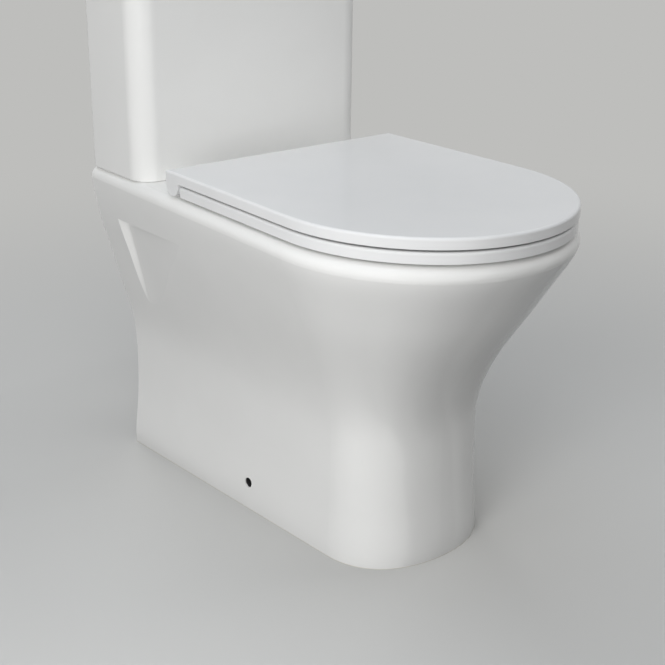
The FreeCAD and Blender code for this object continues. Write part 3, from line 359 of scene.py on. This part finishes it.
def chrome_plate(finish):
    """Chromium plated over polished metal or plastic."""
    # A clear mirror that darkens and brightens with what stands round it, dulled a little by
    # wiping.
    material, tree, shader, where = start_material("chromium_plated")
    wipes = add(tree, "TexNoise", {
        "Vector": where, "Scale": 1 / finish.chrome_wipe, "Detail": 3.0})
    rough = add(tree, "MapRange", {
        "Value": wipes.outputs["Fac"], "To Min": 0.04, "To Max": 0.14})
    feed(tree, shader, {
        "Base Color": opaque(finish.chrome), "Roughness": rough.outputs["Result"], "Metallic": 1})
    return material


def zinc_steel(finish):
    """Steel, turned and bright zinc plated."""
    # A soft silvery shine broken into small brighter and duller patches.
    material, tree, shader, where = start_material("steel_zinc_plated")
    patches = add(tree, "TexVoronoi", {"Vector": where, "Scale": 1 / finish.zinc_grain})
    colour = add(tree, "Mix", {
        MIX_SHARE: patches.outputs["Distance"], MIX_FIRST: opaque(finish.zinc),
        MIX_SECOND: opaque(finish.zinc_dull)}, data_type="RGBA")
    rough = add(tree, "MapRange", {
        "Value": patches.outputs["Distance"], "To Min": 0.26, "To Max": 0.46})
    feed(tree, shader, {
        "Base Color": colour.outputs[MIX_RESULT], "Roughness": rough.outputs["Result"],
        "Metallic": 1})
    return material


def moulded_plastic(name, finish, base, flow_colour, roughness, ior):
    """A thermoplastic, injection moulded in a spark-eroded mould."""
    # A low broad sheen over a fine even grain, with soft cloudy marks where the melt flowed.
    material, tree, shader, where = start_material(name)
    flow = add(tree, "TexNoise", {
        "Vector": where, "Scale": 1 / finish.moulding_flow, "Detail": 3.0})
    colour = add(tree, "Mix", {
        MIX_SHARE: flow.outputs["Fac"], MIX_FIRST: opaque(base),
        MIX_SECOND: opaque(flow_colour)}, data_type="RGBA")
    grain = add(tree, "TexNoise", {
        "Vector": where, "Scale": 1 / finish.moulding_grain, "Detail": 2.0})
    least, most = roughness
    rough = add(tree, "MapRange", {
        "Value": grain.outputs["Fac"], "To Min": least, "To Max": most})
    bump = add(tree, "Bump", {
        "Height": grain.outputs["Fac"], "Strength": 0.15, "Distance": 0.2 * MM})
    feed(tree, shader, {
        "Base Color": colour.outputs[MIX_RESULT], "Roughness": rough.outputs["Result"],
        "Normal": bump.outputs["Normal"], "IOR": ior})
    return material


def moulded_rubber(name, finish, base, bloom):
    """A rubber, pressed and cured in a mould."""
    # Matt and soft to the eye, with a dusty bloom that greys it in small patches.
    material, tree, shader, where = start_material(name)
    dust = add(tree, "TexNoise", {
        "Vector": where, "Scale": 1 / finish.rubber_grain, "Detail": 4.0})
    colour = add(tree, "Mix", {
        MIX_SHARE: dust.outputs["Fac"], MIX_FIRST: opaque(base),
        MIX_SECOND: opaque(bloom)}, data_type="RGBA")
    rough = add(tree, "MapRange", {
        "Value": dust.outputs["Fac"], "To Min": 0.55, "To Max": 0.8})
    bump = add(tree, "Bump", {
        "Height": dust.outputs["Fac"], "Strength": 0.2, "Distance": 0.1 * MM})
    feed(tree, shader, {
        "Base Color": colour.outputs[MIX_RESULT], "Roughness": rough.outputs["Result"],
        "Normal": bump.outputs["Normal"]})
    return material


def grey_acetal(finish):
    """The grey fittings' plastic."""
    return moulded_plastic(
        "acetal_moulded", finish, finish.grey, finish.grey_light, (0.38, 0.53), 1.48)


def white_polypropylene(finish):
    """The white fittings' plastic."""
    return moulded_plastic(
        "polypropylene_moulded", finish, finish.white, finish.white_warm, (0.32, 0.47), 1.49)


def pale_silicone(finish):
    """The pale pads' rubber."""
    return moulded_rubber(
        "silicone_rubber_moulded", finish, finish.pale_rubber, finish.white_warm)


def black_nitrile(finish):
    """The dark seals' rubber."""
    return moulded_rubber(
        "nitrile_rubber_moulded", finish, finish.black_rubber, finish.black_bloom)


FINISH_OF_SLOT = {
    "white_ceramic": glazed_china,
    "white_seat": polished_seat,
    "chrome": chrome_plate,
    "steel": zinc_steel,
    "grey_plastic": grey_acetal,
    "white_plastic": white_polypropylene,
    "pale_rubber": pale_silicone,
    "black_rubber": black_nitrile,
}
made_finishes = {}


def finish_for(slot):
    """The finish of a slot, made when it is first asked for."""
    if slot not in made_finishes:
        made_finishes[slot] = FINISH_OF_SLOT[slot](bpy.context.scene.toilet_finishes)
    return made_finishes[slot]


def dress(*nodes):
    """Gives pieces of the frame the finish of their slots."""
    for name in nodes:
        frame["nodes"][name].material_slots[0].material = finish_for(SLOT_OF_NODE[name])


# Shapes of the small fittings

def solids_of(node):
    """The corners of each solid of a node, from left to right."""
    shape = bmesh.new()
    shape.from_mesh(frame["nodes"][node].data)
    bmesh.ops.remove_doubles(shape, verts=shape.verts, dist=MERGE_GAP)
    left = dict.fromkeys(shape.verts)
    solids = []
    while left:
        ready = [left.popitem()[0]]
        solid = []
        while ready:
            corner = ready.pop()
            solid.append(corner.co.copy())
            for edge in corner.link_edges:
                near = edge.other_vert(corner)
                if near in left:
                    del left[near]
                    ready.append(near)
        solids.append(solid)
    shape.free()
    return sorted(solids, key=lambda solid: min(corner[:] for corner in solid))


def reach_from(axis, corner):
    """How far a corner stands from an upright axis."""
    return (corner - axis).xy.length


def extent(solid):
    """The least and the greatest coordinates of a solid."""
    return [Vector([end(places) for places in zip(*solid)]) for end in (min, max)]


def measured(solid):
    """The axis, least and greatest radius, lowest and highest level of an upright turned solid."""
    low, high = extent(solid)
    axis = (low + high) / 2
    reach = [reach_from(axis, corner) for corner in solid]
    return axis, min(reach), max(reach), low.z, high.z


def radius_at(solid, axis, level):
    """The greatest radius of a solid at one of its levels."""
    return max(
        reach_from(axis, corner) for corner in solid if abs(corner.z - level) < LEVEL_GAP)


def corner_turn(solid, axis):
    """The turn that brings a flat-sided bar's first corner, made on +Y, to the solid's own."""
    corner = max(solid, key=lambda place: reach_from(axis, place)) - axis
    return math.atan2(corner.y, corner.x) - QUARTER_TURN


def added_since(shape, before):
    """The corners that a shape has gained."""
    return [place for place in shape.verts if place not in before]


def corners_in(made):
    """The corners among what an operator made."""
    return [item for item in made["geom"] if isinstance(item, bmesh.types.BMVert)]


def around(places):
    """The given corners with every edge and face that meets them."""
    edges = dict.fromkeys(edge for place in places for edge in place.link_edges)
    faces = dict.fromkeys(face for place in places for face in place.link_faces)
    return [*places, *edges, *faces]


def lathe(shape, outline, axis, closed=True):
    """Turns an outline of radii and levels round an upright axis."""
    corners = [shape.verts.new((axis.x + radius, axis.y, level)) for radius, level in outline]
    ends = corners[1:] + corners[:1] if closed else corners[1:]
    edges = [shape.edges.new(pair) for pair in zip(corners, ends)]
    bmesh.ops.spin(
        shape, geom=corners + edges, cent=axis, axis=UP, dvec=(0, 0, 0),
        angle=FULL_TURN, steps=TURN_STEPS, use_merge=True)


def soften(shape, width):
    """Merges what meets, turns the faces outwards and rounds every sharp edge."""
    bmesh.ops.remove_doubles(shape, verts=shape.verts, dist=MERGE_GAP)
    bmesh.ops.recalc_face_normals(shape, faces=shape.faces)
    sharp = [edge for edge in shape.edges if edge.calc_face_angle(0) > SHARP_ANGLE]
    bmesh.ops.bevel(
        shape, geom=sharp, offset=width, segments=EDGE_STEPS, profile=0.5, affect="EDGES",
        clamp_overlap=True, material=-1)


def flat_bar(shape, axis, turn, corner, low, high):
    """An upright six-sided bar, closed at both ends."""
    middle = Matrix.Translation((axis.x, axis.y, (low + high) / 2))
    bmesh.ops.create_cone(
        shape, cap_ends=True, segments=NUT_SIDES, radius1=corner, radius2=corner,
        depth=high - low, matrix=middle @ Matrix.Rotation(turn, 4, "Z"))


def flat_nut(shape, axis, turn, corner, bore, low, high):
    """An upright six-sided nut with a round bore."""
    foot = Matrix.Translation((axis.x, axis.y, low)) @ Matrix.Rotation(turn, 4, "Z")
    outer = bmesh.ops.create_circle(shape, segments=NUT_SIDES, radius=corner, matrix=foot)["verts"]
    sides = list(dict.fromkeys(edge for place in outer for edge in place.link_edges))
    bmesh.ops.subdivide_edges(shape, edges=sides, cuts=BORE_STEPS // NUT_SIDES - 1)
    bmesh.ops.create_circle(shape, segments=BORE_STEPS, radius=bore, matrix=foot)
    rims = [edge for edge in shape.edges if edge.is_wire]
    ring = bmesh.ops.bridge_loops(shape, edges=rims)["faces"]
    top = bmesh.ops.extrude_face_region(shape, geom=ring)
    bmesh.ops.translate(shape, vec=(0, 0, high - low), verts=corners_in(top))


def thread(shape, axis, radius, low, high, pitch, bore=0):
    """A right-handed screw thread between two levels, solid or with a bore."""
    root = radius - bpy.context.scene.toilet_fittings.thread_depth * pitch
    profile = ((root, 0), (radius, CREST_START), (radius, CREST_END), (root, ROOT_START))
    others = set(shape.verts)
    corners = []
    for turn in range(-1, math.ceil((high - low) / pitch) + 1):
        for reach, rise in profile:
            level = low + (turn + rise) * pitch
            corners.append(shape.verts.new((axis.x + reach, axis.y, level)))
    edges = [shape.edges.new(pair) for pair in zip(corners, corners[1:])]
    bmesh.ops.spin(
        shape, geom=corners + edges, cent=axis, axis=UP, dvec=(0, 0, pitch / TURN_STEPS),
        angle=FULL_TURN, steps=TURN_STEPS)
    bmesh.ops.remove_doubles(shape, verts=added_since(shape, others), dist=MERGE_GAP)
    bore_rims = []
    for level, way in ((low, -1), (high, 1)):
        bmesh.ops.bisect_plane(
            shape, geom=around(added_since(shape, others)), dist=CUT_GAP,
            plane_co=(axis.x, axis.y, level), plane_no=(0, 0, way), clear_outer=True)
        wound = added_since(shape, others)
        ends = {place for place in wound if abs(place.co.z - level) < MERGE_GAP}
        rim = [edge for edge in shape.edges if edge.is_boundary and ends.issuperset(edge.verts)]
        if bore:
            lip = bmesh.ops.extrude_edge_only(shape, edges=rim)
            inner = corners_in(lip)
            others.update(inner)
            for place in inner:
                share = bore / reach_from(axis, place.co)
                place.co.xy = axis.xy + share * (place.co.xy - axis.xy)
            lip_edges = [item for item in lip["geom"] if isinstance(item, bmesh.types.BMEdge)]
            bore_rims.extend(edge for edge in lip_edges if edge.is_boundary)
        else:
            bmesh.ops.edgeloop_fill(shape, edges=rim)
    if bore:
        bmesh.ops.bridge_loops(shape, edges=bore_rims)


def made_piece(shape, name, slot, body):
    """Makes a piece of a shape, in the finish of a slot; it moves with a body."""
    bmesh.ops.remove_doubles(shape, verts=shape.verts, dist=MERGE_GAP)
    bmesh.ops.recalc_face_normals(shape, faces=shape.faces)
    mesh = bpy.data.meshes.new(name)
    shape.to_mesh(mesh)
    shape.free()
    mesh.shade_smooth()
    mesh.set_sharp_from_angle(angle=SHARP_ANGLE)
    mesh.materials.append(finish_for(slot))
    piece = bpy.data.objects.new(name, mesh)
    bpy.context.scene.collection.objects.link(piece)
    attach(piece, body)
    return piece


def finished(shape, name, node):
    """Makes a piece that stands for a node of the frame."""
    piece = made_piece(shape, name, SLOT_OF_NODE[node], BODY_OF_NODE[node])
    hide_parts(node)
    return piece


def fixing_sleeves(fittings):
    """Dark sleeves that line the holes for the floor screws, a little below the glaze; their dark is painted shade
    for the shadow inside the holes.
    """
    shape = bmesh.new()
    for mount in frame["record"]["mounts"]:
        if mount["kind"] == "bore":
            outer = mount["dims"]["r_mm"] * MM
            inner = outer - fittings.sleeve_wall
            half = mount["dims"]["length_mm"] * MM / 2
            mouth = half - fittings.sleeve_set_in
            others = set(shape.verts)
            lathe(shape, ((inner, -half), (outer, -half), (outer, mouth), (inner, mouth)), ORIGIN)
            aim = Vector(mount["axis"]).to_track_quat("Z", "Y").to_matrix().to_4x4()
            bmesh.ops.transform(
                shape, matrix=Matrix.Translation(mount["pos_m"]) @ aim,
                verts=added_since(shape, others))
    soften(shape, SLEEVE_ROUND * fittings.sleeve_wall)
    # Black, so that the holes show dark: painted shade in place of the shadow inside them
    made_piece(shape, "fixing_sleeves", "black_rubber", BODY_OF_NODE["pan"])


def rounded_rings(*nodes):
    """Seals and washers with the soft edges that their moulds give them."""
    share = bpy.context.scene.toilet_fittings.seal_round
    for node in nodes:
        shape = bmesh.new()
        for solid in solids_of(node):
            axis, inner, outer, low, high = measured(solid)
            lathe(shape, ((inner, low), (outer, low), (outer, high), (inner, high)), axis)
        soften(shape, share * min(outer - inner, high - low))
        finished(shape, "rounded_" + node, node)


def domed_pads(*nodes):
    """Rubber feet: flat where they are held, tapered and dished where they land."""
    for node in nodes:
        shape = bmesh.new()
        for solid in solids_of(node):
            axis, _, radius, low, high = measured(solid)
            height = high - low
            outline = [(reach * radius, low + rise * height) for reach, rise in PAD_OUTLINE]
            lathe(shape, outline, axis, closed=False)
        soften(shape, PAD_ROUND * height)
        finished(shape, "domed_" + node, node)


def nuts_with_bores(*nodes):
    """Six-sided moulded nuts with softened corners."""
    for node in nodes:
        shape = bmesh.new()
        for solid in solids_of(node):
            axis, bore, corner, low, high = measured(solid)
            flat_nut(shape, axis, corner_turn(solid, axis), corner, bore, low, high)
        soften(shape, bpy.context.scene.toilet_fittings.plastic_round)
        finished(shape, "moulded_" + node, node)


def hinge_posts(fittings):
    """Chromed posts: softened flange, stem and head, and a thread down through the deck."""
    hinge = Vector(JOINTS["seat_ring_hinge"]["pos_m"])
    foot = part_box("hinge_gaskets")[1].z
    step = foot + fittings.post_flange_height
    stem = fittings.post_stem_radius
    pin_low, pin_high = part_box("hinge_pins")
    bore = (pin_high.z - pin_low.z) / 2
    shape = bmesh.new()
    threads = []
    for solid in solids_of("hinge_posts"):
        low, high = extent(solid)
        half, head = (high.x - low.x) / 2, high.z - hinge.z
        others = set(shape.verts)
        lathe(shape, ((bore, -half), (head, -half), (head, half), (bore, half)), ORIGIN)
        centre = Matrix.Translation(((low.x + high.x) / 2, hinge.y, hinge.z))
        bmesh.ops.transform(
            shape, matrix=centre @ Matrix.Rotation(QUARTER_TURN, 4, "Y"),
            verts=added_since(shape, others))
        shank = [corner for corner in solid if corner.z - low.z < LEVEL_GAP]
        axis, _, radius, _, _ = measured(shank)
        flange, neck = axis.y - low.y, hinge.z - head / 2
        lathe(shape, (
            (0, foot), (flange, foot), (flange, step), (stem, step), (stem, neck), (0, neck)),
            axis, closed=False)
        threads.append((axis, radius, low.z, foot))
    soften(shape, fittings.metal_round)
    for sizes in threads:
        thread(shape, *sizes, fittings.bolt_pitch)
    finished(shape, "turned_hinge_posts", "hinge_posts")


def stepped_washers():
    """Rubber washers under the deck, each with the spigot that centres its post."""
    deck_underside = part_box("coupling_washers")[1].z
    shape = bmesh.new()
    for solid in solids_of("hinge_washers"):
        axis, inner, outer, low, high = measured(solid)
        spigot = radius_at(solid, axis, high)
        lathe(shape, (
            (inner, low), (outer, low), (outer, deck_underside), (spigot, deck_underside),
            (spigot, high), (inner, high)), axis)
    soften(shape, bpy.context.scene.toilet_fittings.seal_round * (spigot - inner))
    finished(shape, "rounded_hinge_washers", "hinge_washers")


def coupling_bolts(fittings):
    """Bolts with softened six-sided heads and screw threads."""
    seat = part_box("coupling_seals")[1].z
    shape = bmesh.new()
    threads = []
    for solid in solids_of("coupling_bolts"):
        axis, _, corner, low, high = measured(solid)
        flat_bar(shape, axis, corner_turn(solid, axis), corner, seat, high)
        threads.append((axis, radius_at(solid, axis, low), low, seat))
    soften(shape, fittings.metal_round)
    for sizes in threads:
        thread(shape, *sizes, fittings.bolt_pitch)
    finished(shape, "threaded_coupling_bolts", "coupling_bolts")


def wing_nuts(fittings):
    """Wing nuts: a tapered hub and two rounded wings to turn by hand."""
    shape = bmesh.new()
    for solid in solids_of("wing_nuts"):
        axis, bore, span, low, high = measured(solid)
        height, hub = high - low, radius_at(solid, axis, high)
        foot = low + HUB_FOOT_LEVEL * height
        lathe(shape, (
            (bore, foot), (HUB_FOOT_RADIUS * hub, foot),
            (hub, high - HUB_COLLAR_HEIGHT * height), (hub, high), (bore, high)), axis)
        reach, rise = (span - WING_ROOT_RADIUS * hub) / 2, WING_HALF_HEIGHT * height
        near_face = axis.x - fittings.wing_thickness / 2
        upright = Matrix.Rotation(QUARTER_TURN, 4, "Y") @ Matrix.Diagonal((rise, reach, 1, 1))
        for side in (-1, 1):
            centre = Matrix.Translation((near_face, axis.y + side * (span - reach), low + rise))
            wing = bmesh.ops.create_circle(
                shape, cap_ends=True, segments=BORE_STEPS, radius=1, matrix=centre @ upright)
            near = list(wing["verts"][0].link_faces)
            far = bmesh.ops.extrude_face_region(shape, geom=near)
            bmesh.ops.translate(
                shape, vec=(fittings.wing_thickness, 0, 0), verts=corners_in(far))
    soften(shape, fittings.metal_round)
    finished(shape, "cast_wing_nuts", "wing_nuts")


def button_spring(node, fittings):
    """A wound spring with closed end turns, pressed flat by its button."""
    axis, _, outer, low, high = measured(solids_of(node)[0])
    wire = fittings.spring_wire
    closed_climb = CLOSED_TURN_CLIMB * wire
    open_climb = high - low - 2 * wire - 2 * closed_climb
    shape = bmesh.new()
    start = Matrix.Translation((axis.x + outer - wire, axis.y, low + wire))
    section = bmesh.ops.create_circle(
        shape, cap_ends=True, segments=WIRE_STEPS, radius=wire,
        matrix=start @ Matrix.Rotation(QUARTER_TURN, 4, "X"))
    last = around(section["verts"])
    runs = ((1, closed_climb), (fittings.spring_turns, open_climb), (1, closed_climb))
    for turns, climb in runs:
        steps = turns * BORE_STEPS
        last = bmesh.ops.spin(
            shape, geom=last, cent=axis, axis=UP, dvec=(0, 0, climb / steps),
            angle=FULL_TURN * turns, steps=steps)["geom_last"]
    piece = finished(shape, "wound_" + node, node)
    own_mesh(piece)


def steps_of(solid, axis):
    """The outer radius of a stepped solid between each two of its levels, from the lowest up."""
    reach = {}
    for corner in solid:
        level = round(corner.z, LEVEL_DIGITS)
        reach.setdefault(level, set()).add(round(reach_from(axis, corner), RADIUS_DIGITS))
    levels = sorted(reach)
    return [(max(reach[low] & reach[high]), low, high) for low, high in zip(levels, levels[1:])]


def threaded_tube(node, pitches, name):
    """A turned tube; its steps that have a pitch, counted from the lowest, carry screw threads."""
    solid = solids_of(node)[0]
    axis, bore, _, _, _ = measured(solid)
    steps = steps_of(solid, axis)
    top_thread = max(pitches)
    plain = steps[top_thread + 1:]
    outline = []
    for radius, low, high in plain:
        outline.extend(((radius, low), (radius, high)))
    outline.extend(((bore, plain[-1][2]), (bore, plain[0][1])))
    ease = bpy.context.scene.toilet_fittings.plastic_round
    shape = bmesh.new()
    lathe(shape, outline, axis)
    soften(shape, ease)
    for number, (radius, low, high) in enumerate(steps[:top_thread + 1]):
        if number in pitches:
            thread(shape, axis, radius, low, high, pitches[number], bore)
        else:
            lathe(shape, (
                (bore, low + ease), (bore + ease, low), (radius, low),
                (radius, high), (bore + ease, high), (bore, high - ease)), axis)
    finished(shape, name, node)


# Operators

class TOILET_OT_pan(bpy.types.Operator):
    """Glazes the pan with its bowl and trap, and lines its fixing holes with dark sleeves as painted shade"""

    bl_idname = "toilet.pan"
    bl_label = "Pan"

    def execute(self, context):
        dress("pan", "bowl", "trap")
        fixing_sleeves(context.scene.toilet_fittings)
        return {"FINISHED"}


class TOILET_OT_cistern(bpy.types.Operator):
    """Glazes the cistern and its lid"""

    bl_idname = "toilet.cistern"
    bl_label = "Cistern"

    def execute(self, context):
        dress("cistern", "cistern_lid")
        return {"FINISHED"}


class TOILET_OT_seat(bpy.types.Operator):
    """Finishes the seat ring and lid with their rubber pads"""

    bl_idname = "toilet.seat"
    bl_label = "Seat"

    def execute(self, context):
        dress("seat_ring", "seat_lid")
        domed_pads("ring_buffers", "lid_buffers")
        return {"FINISHED"}


class TOILET_OT_hinges(bpy.types.Operator):
    """Finishes the seat's hinges and what holds them to the deck"""

    bl_idname = "toilet.hinges"
    bl_label = "Seat hinges"

    def execute(self, context):
        dress("hinge_pins", "hinge_dampers", "ring_bushes")
        hinge_posts(context.scene.toilet_fittings)
        rounded_rings("hinge_gaskets")
        stepped_washers()
        nuts_with_bores("hinge_nuts")
        return {"FINISHED"}


class TOILET_OT_coupling(bpy.types.Operator):
    """Finishes the seal, bolts and nuts between the cistern and the pan"""

    bl_idname = "toilet.coupling"
    bl_label = "Cistern coupling"

    def execute(self, context):
        rounded_rings("coupling_seal", "coupling_seals", "coupling_washers")
        coupling_bolts(context.scene.toilet_fittings)
        wing_nuts(context.scene.toilet_fittings)
        return {"FINISHED"}


class TOILET_OT_flush_button(bpy.types.Operator):
    """Finishes the split button with its housing, rods and springs"""

    bl_idname = "toilet.flush_button"
    bl_label = "Flush button"

    def execute(self, context):
        dress("button_bezel", "full_flush_button", "half_flush_button")
        dress("full_flush_rod", "half_flush_rod")
        rounded_rings("button_nut")
        fittings = context.scene.toilet_fittings
        button_spring("full_flush_spring", fittings)
        button_spring("half_flush_spring", fittings)
        return {"FINISHED"}


class TOILET_OT_flush_valve(bpy.types.Operator):
    """Finishes the flush valve inside the cistern"""

    bl_idname = "toilet.flush_valve"
    bl_label = "Flush valve"

    def execute(self, context):
        dress("flush_valve_nut", "flush_valve_tower", "overflow_tube")
        dress("full_flush_plunger", "half_flush_plunger")
        fittings = context.scene.toilet_fittings
        threaded_tube("flush_valve_base", {0: fittings.tail_pitch}, "threaded_valve_base")
        rounded_rings("flush_valve_gasket", "flush_seal")
        return {"FINISHED"}


class TOILET_OT_fill_valve(bpy.types.Operator):
    """Finishes the fill valve with its float and lever"""

    bl_idname = "toilet.fill_valve"
    bl_label = "Fill valve"

    def execute(self, context):
        dress("fill_valve_head", "fill_float", "float_link", "float_lever")
        fittings = context.scene.toilet_fittings
        pitches = {0: fittings.supply_pitch, 2: fittings.shank_pitch}
        threaded_tube("fill_valve_riser", pitches, "threaded_valve_riser")
        rounded_rings("fill_valve_gasket")
        nuts_with_bores("fill_valve_nut")
        return {"FINISHED"}


def seen_directly(tree):
    """One for rays that show a surface itself, nothing for those that only carry its light."""
    path = add(tree, "LightPath", {})
    seen = add(tree, "Math", {
        0: path.outputs["Is Camera Ray"], 1: path.outputs["Is Glossy Ray"]}, operation="MAXIMUM")
    seen = add(tree, "Math", {
        0: seen.outputs[0], 1: path.outputs["Is Transmission Ray"]}, operation="MAXIMUM")
    return seen.outputs[0]


def floor_paint(stage):
    """Matt paint, rolled on."""
    # Even and dull; it takes the object's shadow, runs into the plain backdrop further out, and
    # throws less light back up at the object than its colour would.
    material, tree, shader, where = start_material("floor_matt_paint")
    tree.nodes.remove(shader)
    away = add(tree, "VectorMath", {0: where}, operation="LENGTH")
    far = add(tree, "MapRange", {
        "Value": away.outputs["Value"], "From Min": stage.fade_start, "From Max": stage.fade_end},
        interpolation_type="SMOOTHSTEP")
    lit = add(tree, "BsdfDiffuse", {"Color": opaque(stage.floor)})
    plain = add(tree, "Emission", {"Color": opaque(stage.backdrop), "Strength": 1.0})
    shown = add(tree, "MixShader", {
        0: far.outputs["Result"], 1: lit.outputs[0], 2: plain.outputs[0]})
    bounced = add(tree, "BsdfDiffuse", {"Color": opaque(stage.floor_bounce)})
    either = add(tree, "MixShader", {
        0: seen_directly(tree), 1: bounced.outputs[0], 2: shown.outputs[0]})
    feed(tree, tree.nodes["Material Output"], {"Surface": either.outputs[0]})
    return material


def light_world(stage):
    """A pale surrounding that shows as it is and lights the object evenly."""
    world = bpy.data.worlds.new("studio")
    world.use_nodes = True
    tree = world.node_tree
    tree.nodes.clear()
    shown = add(tree, "Background", {"Color": opaque(stage.backdrop), "Strength": 1.0})
    even = add(tree, "Background", {
        "Color": opaque(stage.ambient), "Strength": stage.ambient_strength})
    either = add(tree, "MixShader", {
        0: seen_directly(tree), 1: even.outputs[0], 2: shown.outputs[0]})
    add(tree, "OutputWorld", {"Surface": either.outputs[0]})
    bpy.context.scene.world = world


def soft_light(name, place, target, size, power, mirrored=False):
    """A square soft light that faces a point, and may show as a reflection."""
    lamp = bpy.data.lights.new(name, "AREA")
    lamp.size = size
    lamp.energy = power
    light = bpy.data.objects.new(name, lamp)
    light.location = place
    light.rotation_euler = (Vector(target) - Vector(place)).to_track_quat("-Z", "Y").to_euler()
    light.visible_glossy = mirrored
    bpy.context.scene.collection.objects.link(light)
    return light


def set_lights(stage):
    """The soft lights round the object; only the key's sheen and the top one show in gloss."""
    middle = (cad_box[0] + cad_box[1]) / 2
    sheen = stage.key_sheen * stage.key_power
    soft_light("key_light", stage.key_place, middle, stage.key_size, stage.key_power - sheen)
    soft_light("key_sheen", stage.key_place, middle, stage.key_size, sheen, mirrored=True)
    for side in ("high", "side", "near", "fill", "back"):
        place, size, power = (getattr(stage, f"{side}_{of}") for of in ("place", "size", "power"))
        soft_light(side + "_light", place, middle, size, power)
    top = soft_light(
        "top_light", stage.top_place, middle, stage.top_size, stage.top_power, mirrored=True)
    top.data.color = stage.top_colour


def set_camera(stage):
    """The camera, turned and dipped as the stage says."""
    turn, dip, roll = stage.camera_turn, stage.camera_dip, stage.camera_roll
    forward = Vector((
        -math.sin(turn) * math.cos(dip), math.cos(turn) * math.cos(dip), -math.sin(dip)))
    level = Vector((math.cos(turn), math.sin(turn), 0))
    upward = level.cross(forward)
    right = math.cos(roll) * level + math.sin(roll) * upward
    above = math.cos(roll) * upward - math.sin(roll) * level
    lens = bpy.data.cameras.new("camera")
    lens.lens = stage.camera_lens
    camera = bpy.data.objects.new("camera", lens)
    aim = Matrix((right, above, -forward)).transposed()
    camera.matrix_world = Matrix.Translation(stage.camera_place) @ aim.to_4x4()
    bpy.context.scene.collection.objects.link(camera)
    bpy.context.scene.camera = camera


class TOILET_OT_stage(bpy.types.Operator):
    """Sets the floor, the soft light and the camera"""

    bl_idname = "toilet.stage"
    bl_label = "Stage"

    def execute(self, context):
        stage = context.scene.toilet_stage
        shape = bmesh.new()
        bmesh.ops.create_circle(
            shape, cap_ends=True, segments=FLOOR_STEPS, radius=stage.floor_radius)
        mesh = bpy.data.meshes.new("floor")
        shape.to_mesh(mesh)
        shape.free()
        mesh.materials.append(floor_paint(stage))
        floor = bpy.data.objects.new("floor", mesh)
        context.scene.collection.objects.link(floor)
        light_world(stage)
        set_lights(stage)
        set_camera(stage)
        context.scene.view_settings.view_transform = "Standard"
        return {"FINISHED"}


class TOILET_PT_sidebar(bpy.types.Panel):
    """The toilet's operators and what can be changed"""

    bl_idname = "TOILET_PT_sidebar"
    bl_label = "Toilet"
    bl_space_type = "VIEW_3D"
    bl_region_type = "UI"
    bl_category = "Toilet"

    def draw(self, context):
        for operator in OPERATORS:
            self.layout.operator(operator.bl_idname)
        scene = context.scene
        for settings in (scene.toilet_finishes, scene.toilet_fittings, scene.toilet_stage):
            box = self.layout.box()
            for name in settings.__annotations__:
                box.prop(settings, name)


OPERATORS = (
    TOILET_OT_pan,
    TOILET_OT_cistern,
    TOILET_OT_seat,
    TOILET_OT_hinges,
    TOILET_OT_coupling,
    TOILET_OT_flush_button,
    TOILET_OT_flush_valve,
    TOILET_OT_fill_valve,
    TOILET_OT_stage,
)
CLASSES = (ToiletFinishes, ToiletFittings, ToiletStage, *OPERATORS, TOILET_PT_sidebar)


def register():
    """Makes the operators, the panel and the scene's settings known."""
    for cls in CLASSES:
        bpy.utils.register_class(cls)
    bpy.types.Scene.toilet_finishes = bpy.props.PointerProperty(type=ToiletFinishes)
    bpy.types.Scene.toilet_fittings = bpy.props.PointerProperty(type=ToiletFittings)
    bpy.types.Scene.toilet_stage = bpy.props.PointerProperty(type=ToiletStage)


def unregister():
    """Takes back what register made known."""
    del bpy.types.Scene.toilet_stage
    del bpy.types.Scene.toilet_fittings
    del bpy.types.Scene.toilet_finishes
    for cls in reversed(CLASSES):
        bpy.utils.unregister_class(cls)


def main():
    """Dresses the whole toilet and sets the stage."""
    register()
    for operator in OPERATORS:
        group, name = operator.bl_idname.split(".")
        getattr(getattr(bpy.ops, group), name)()


if __name__ == "__main__":
    main()
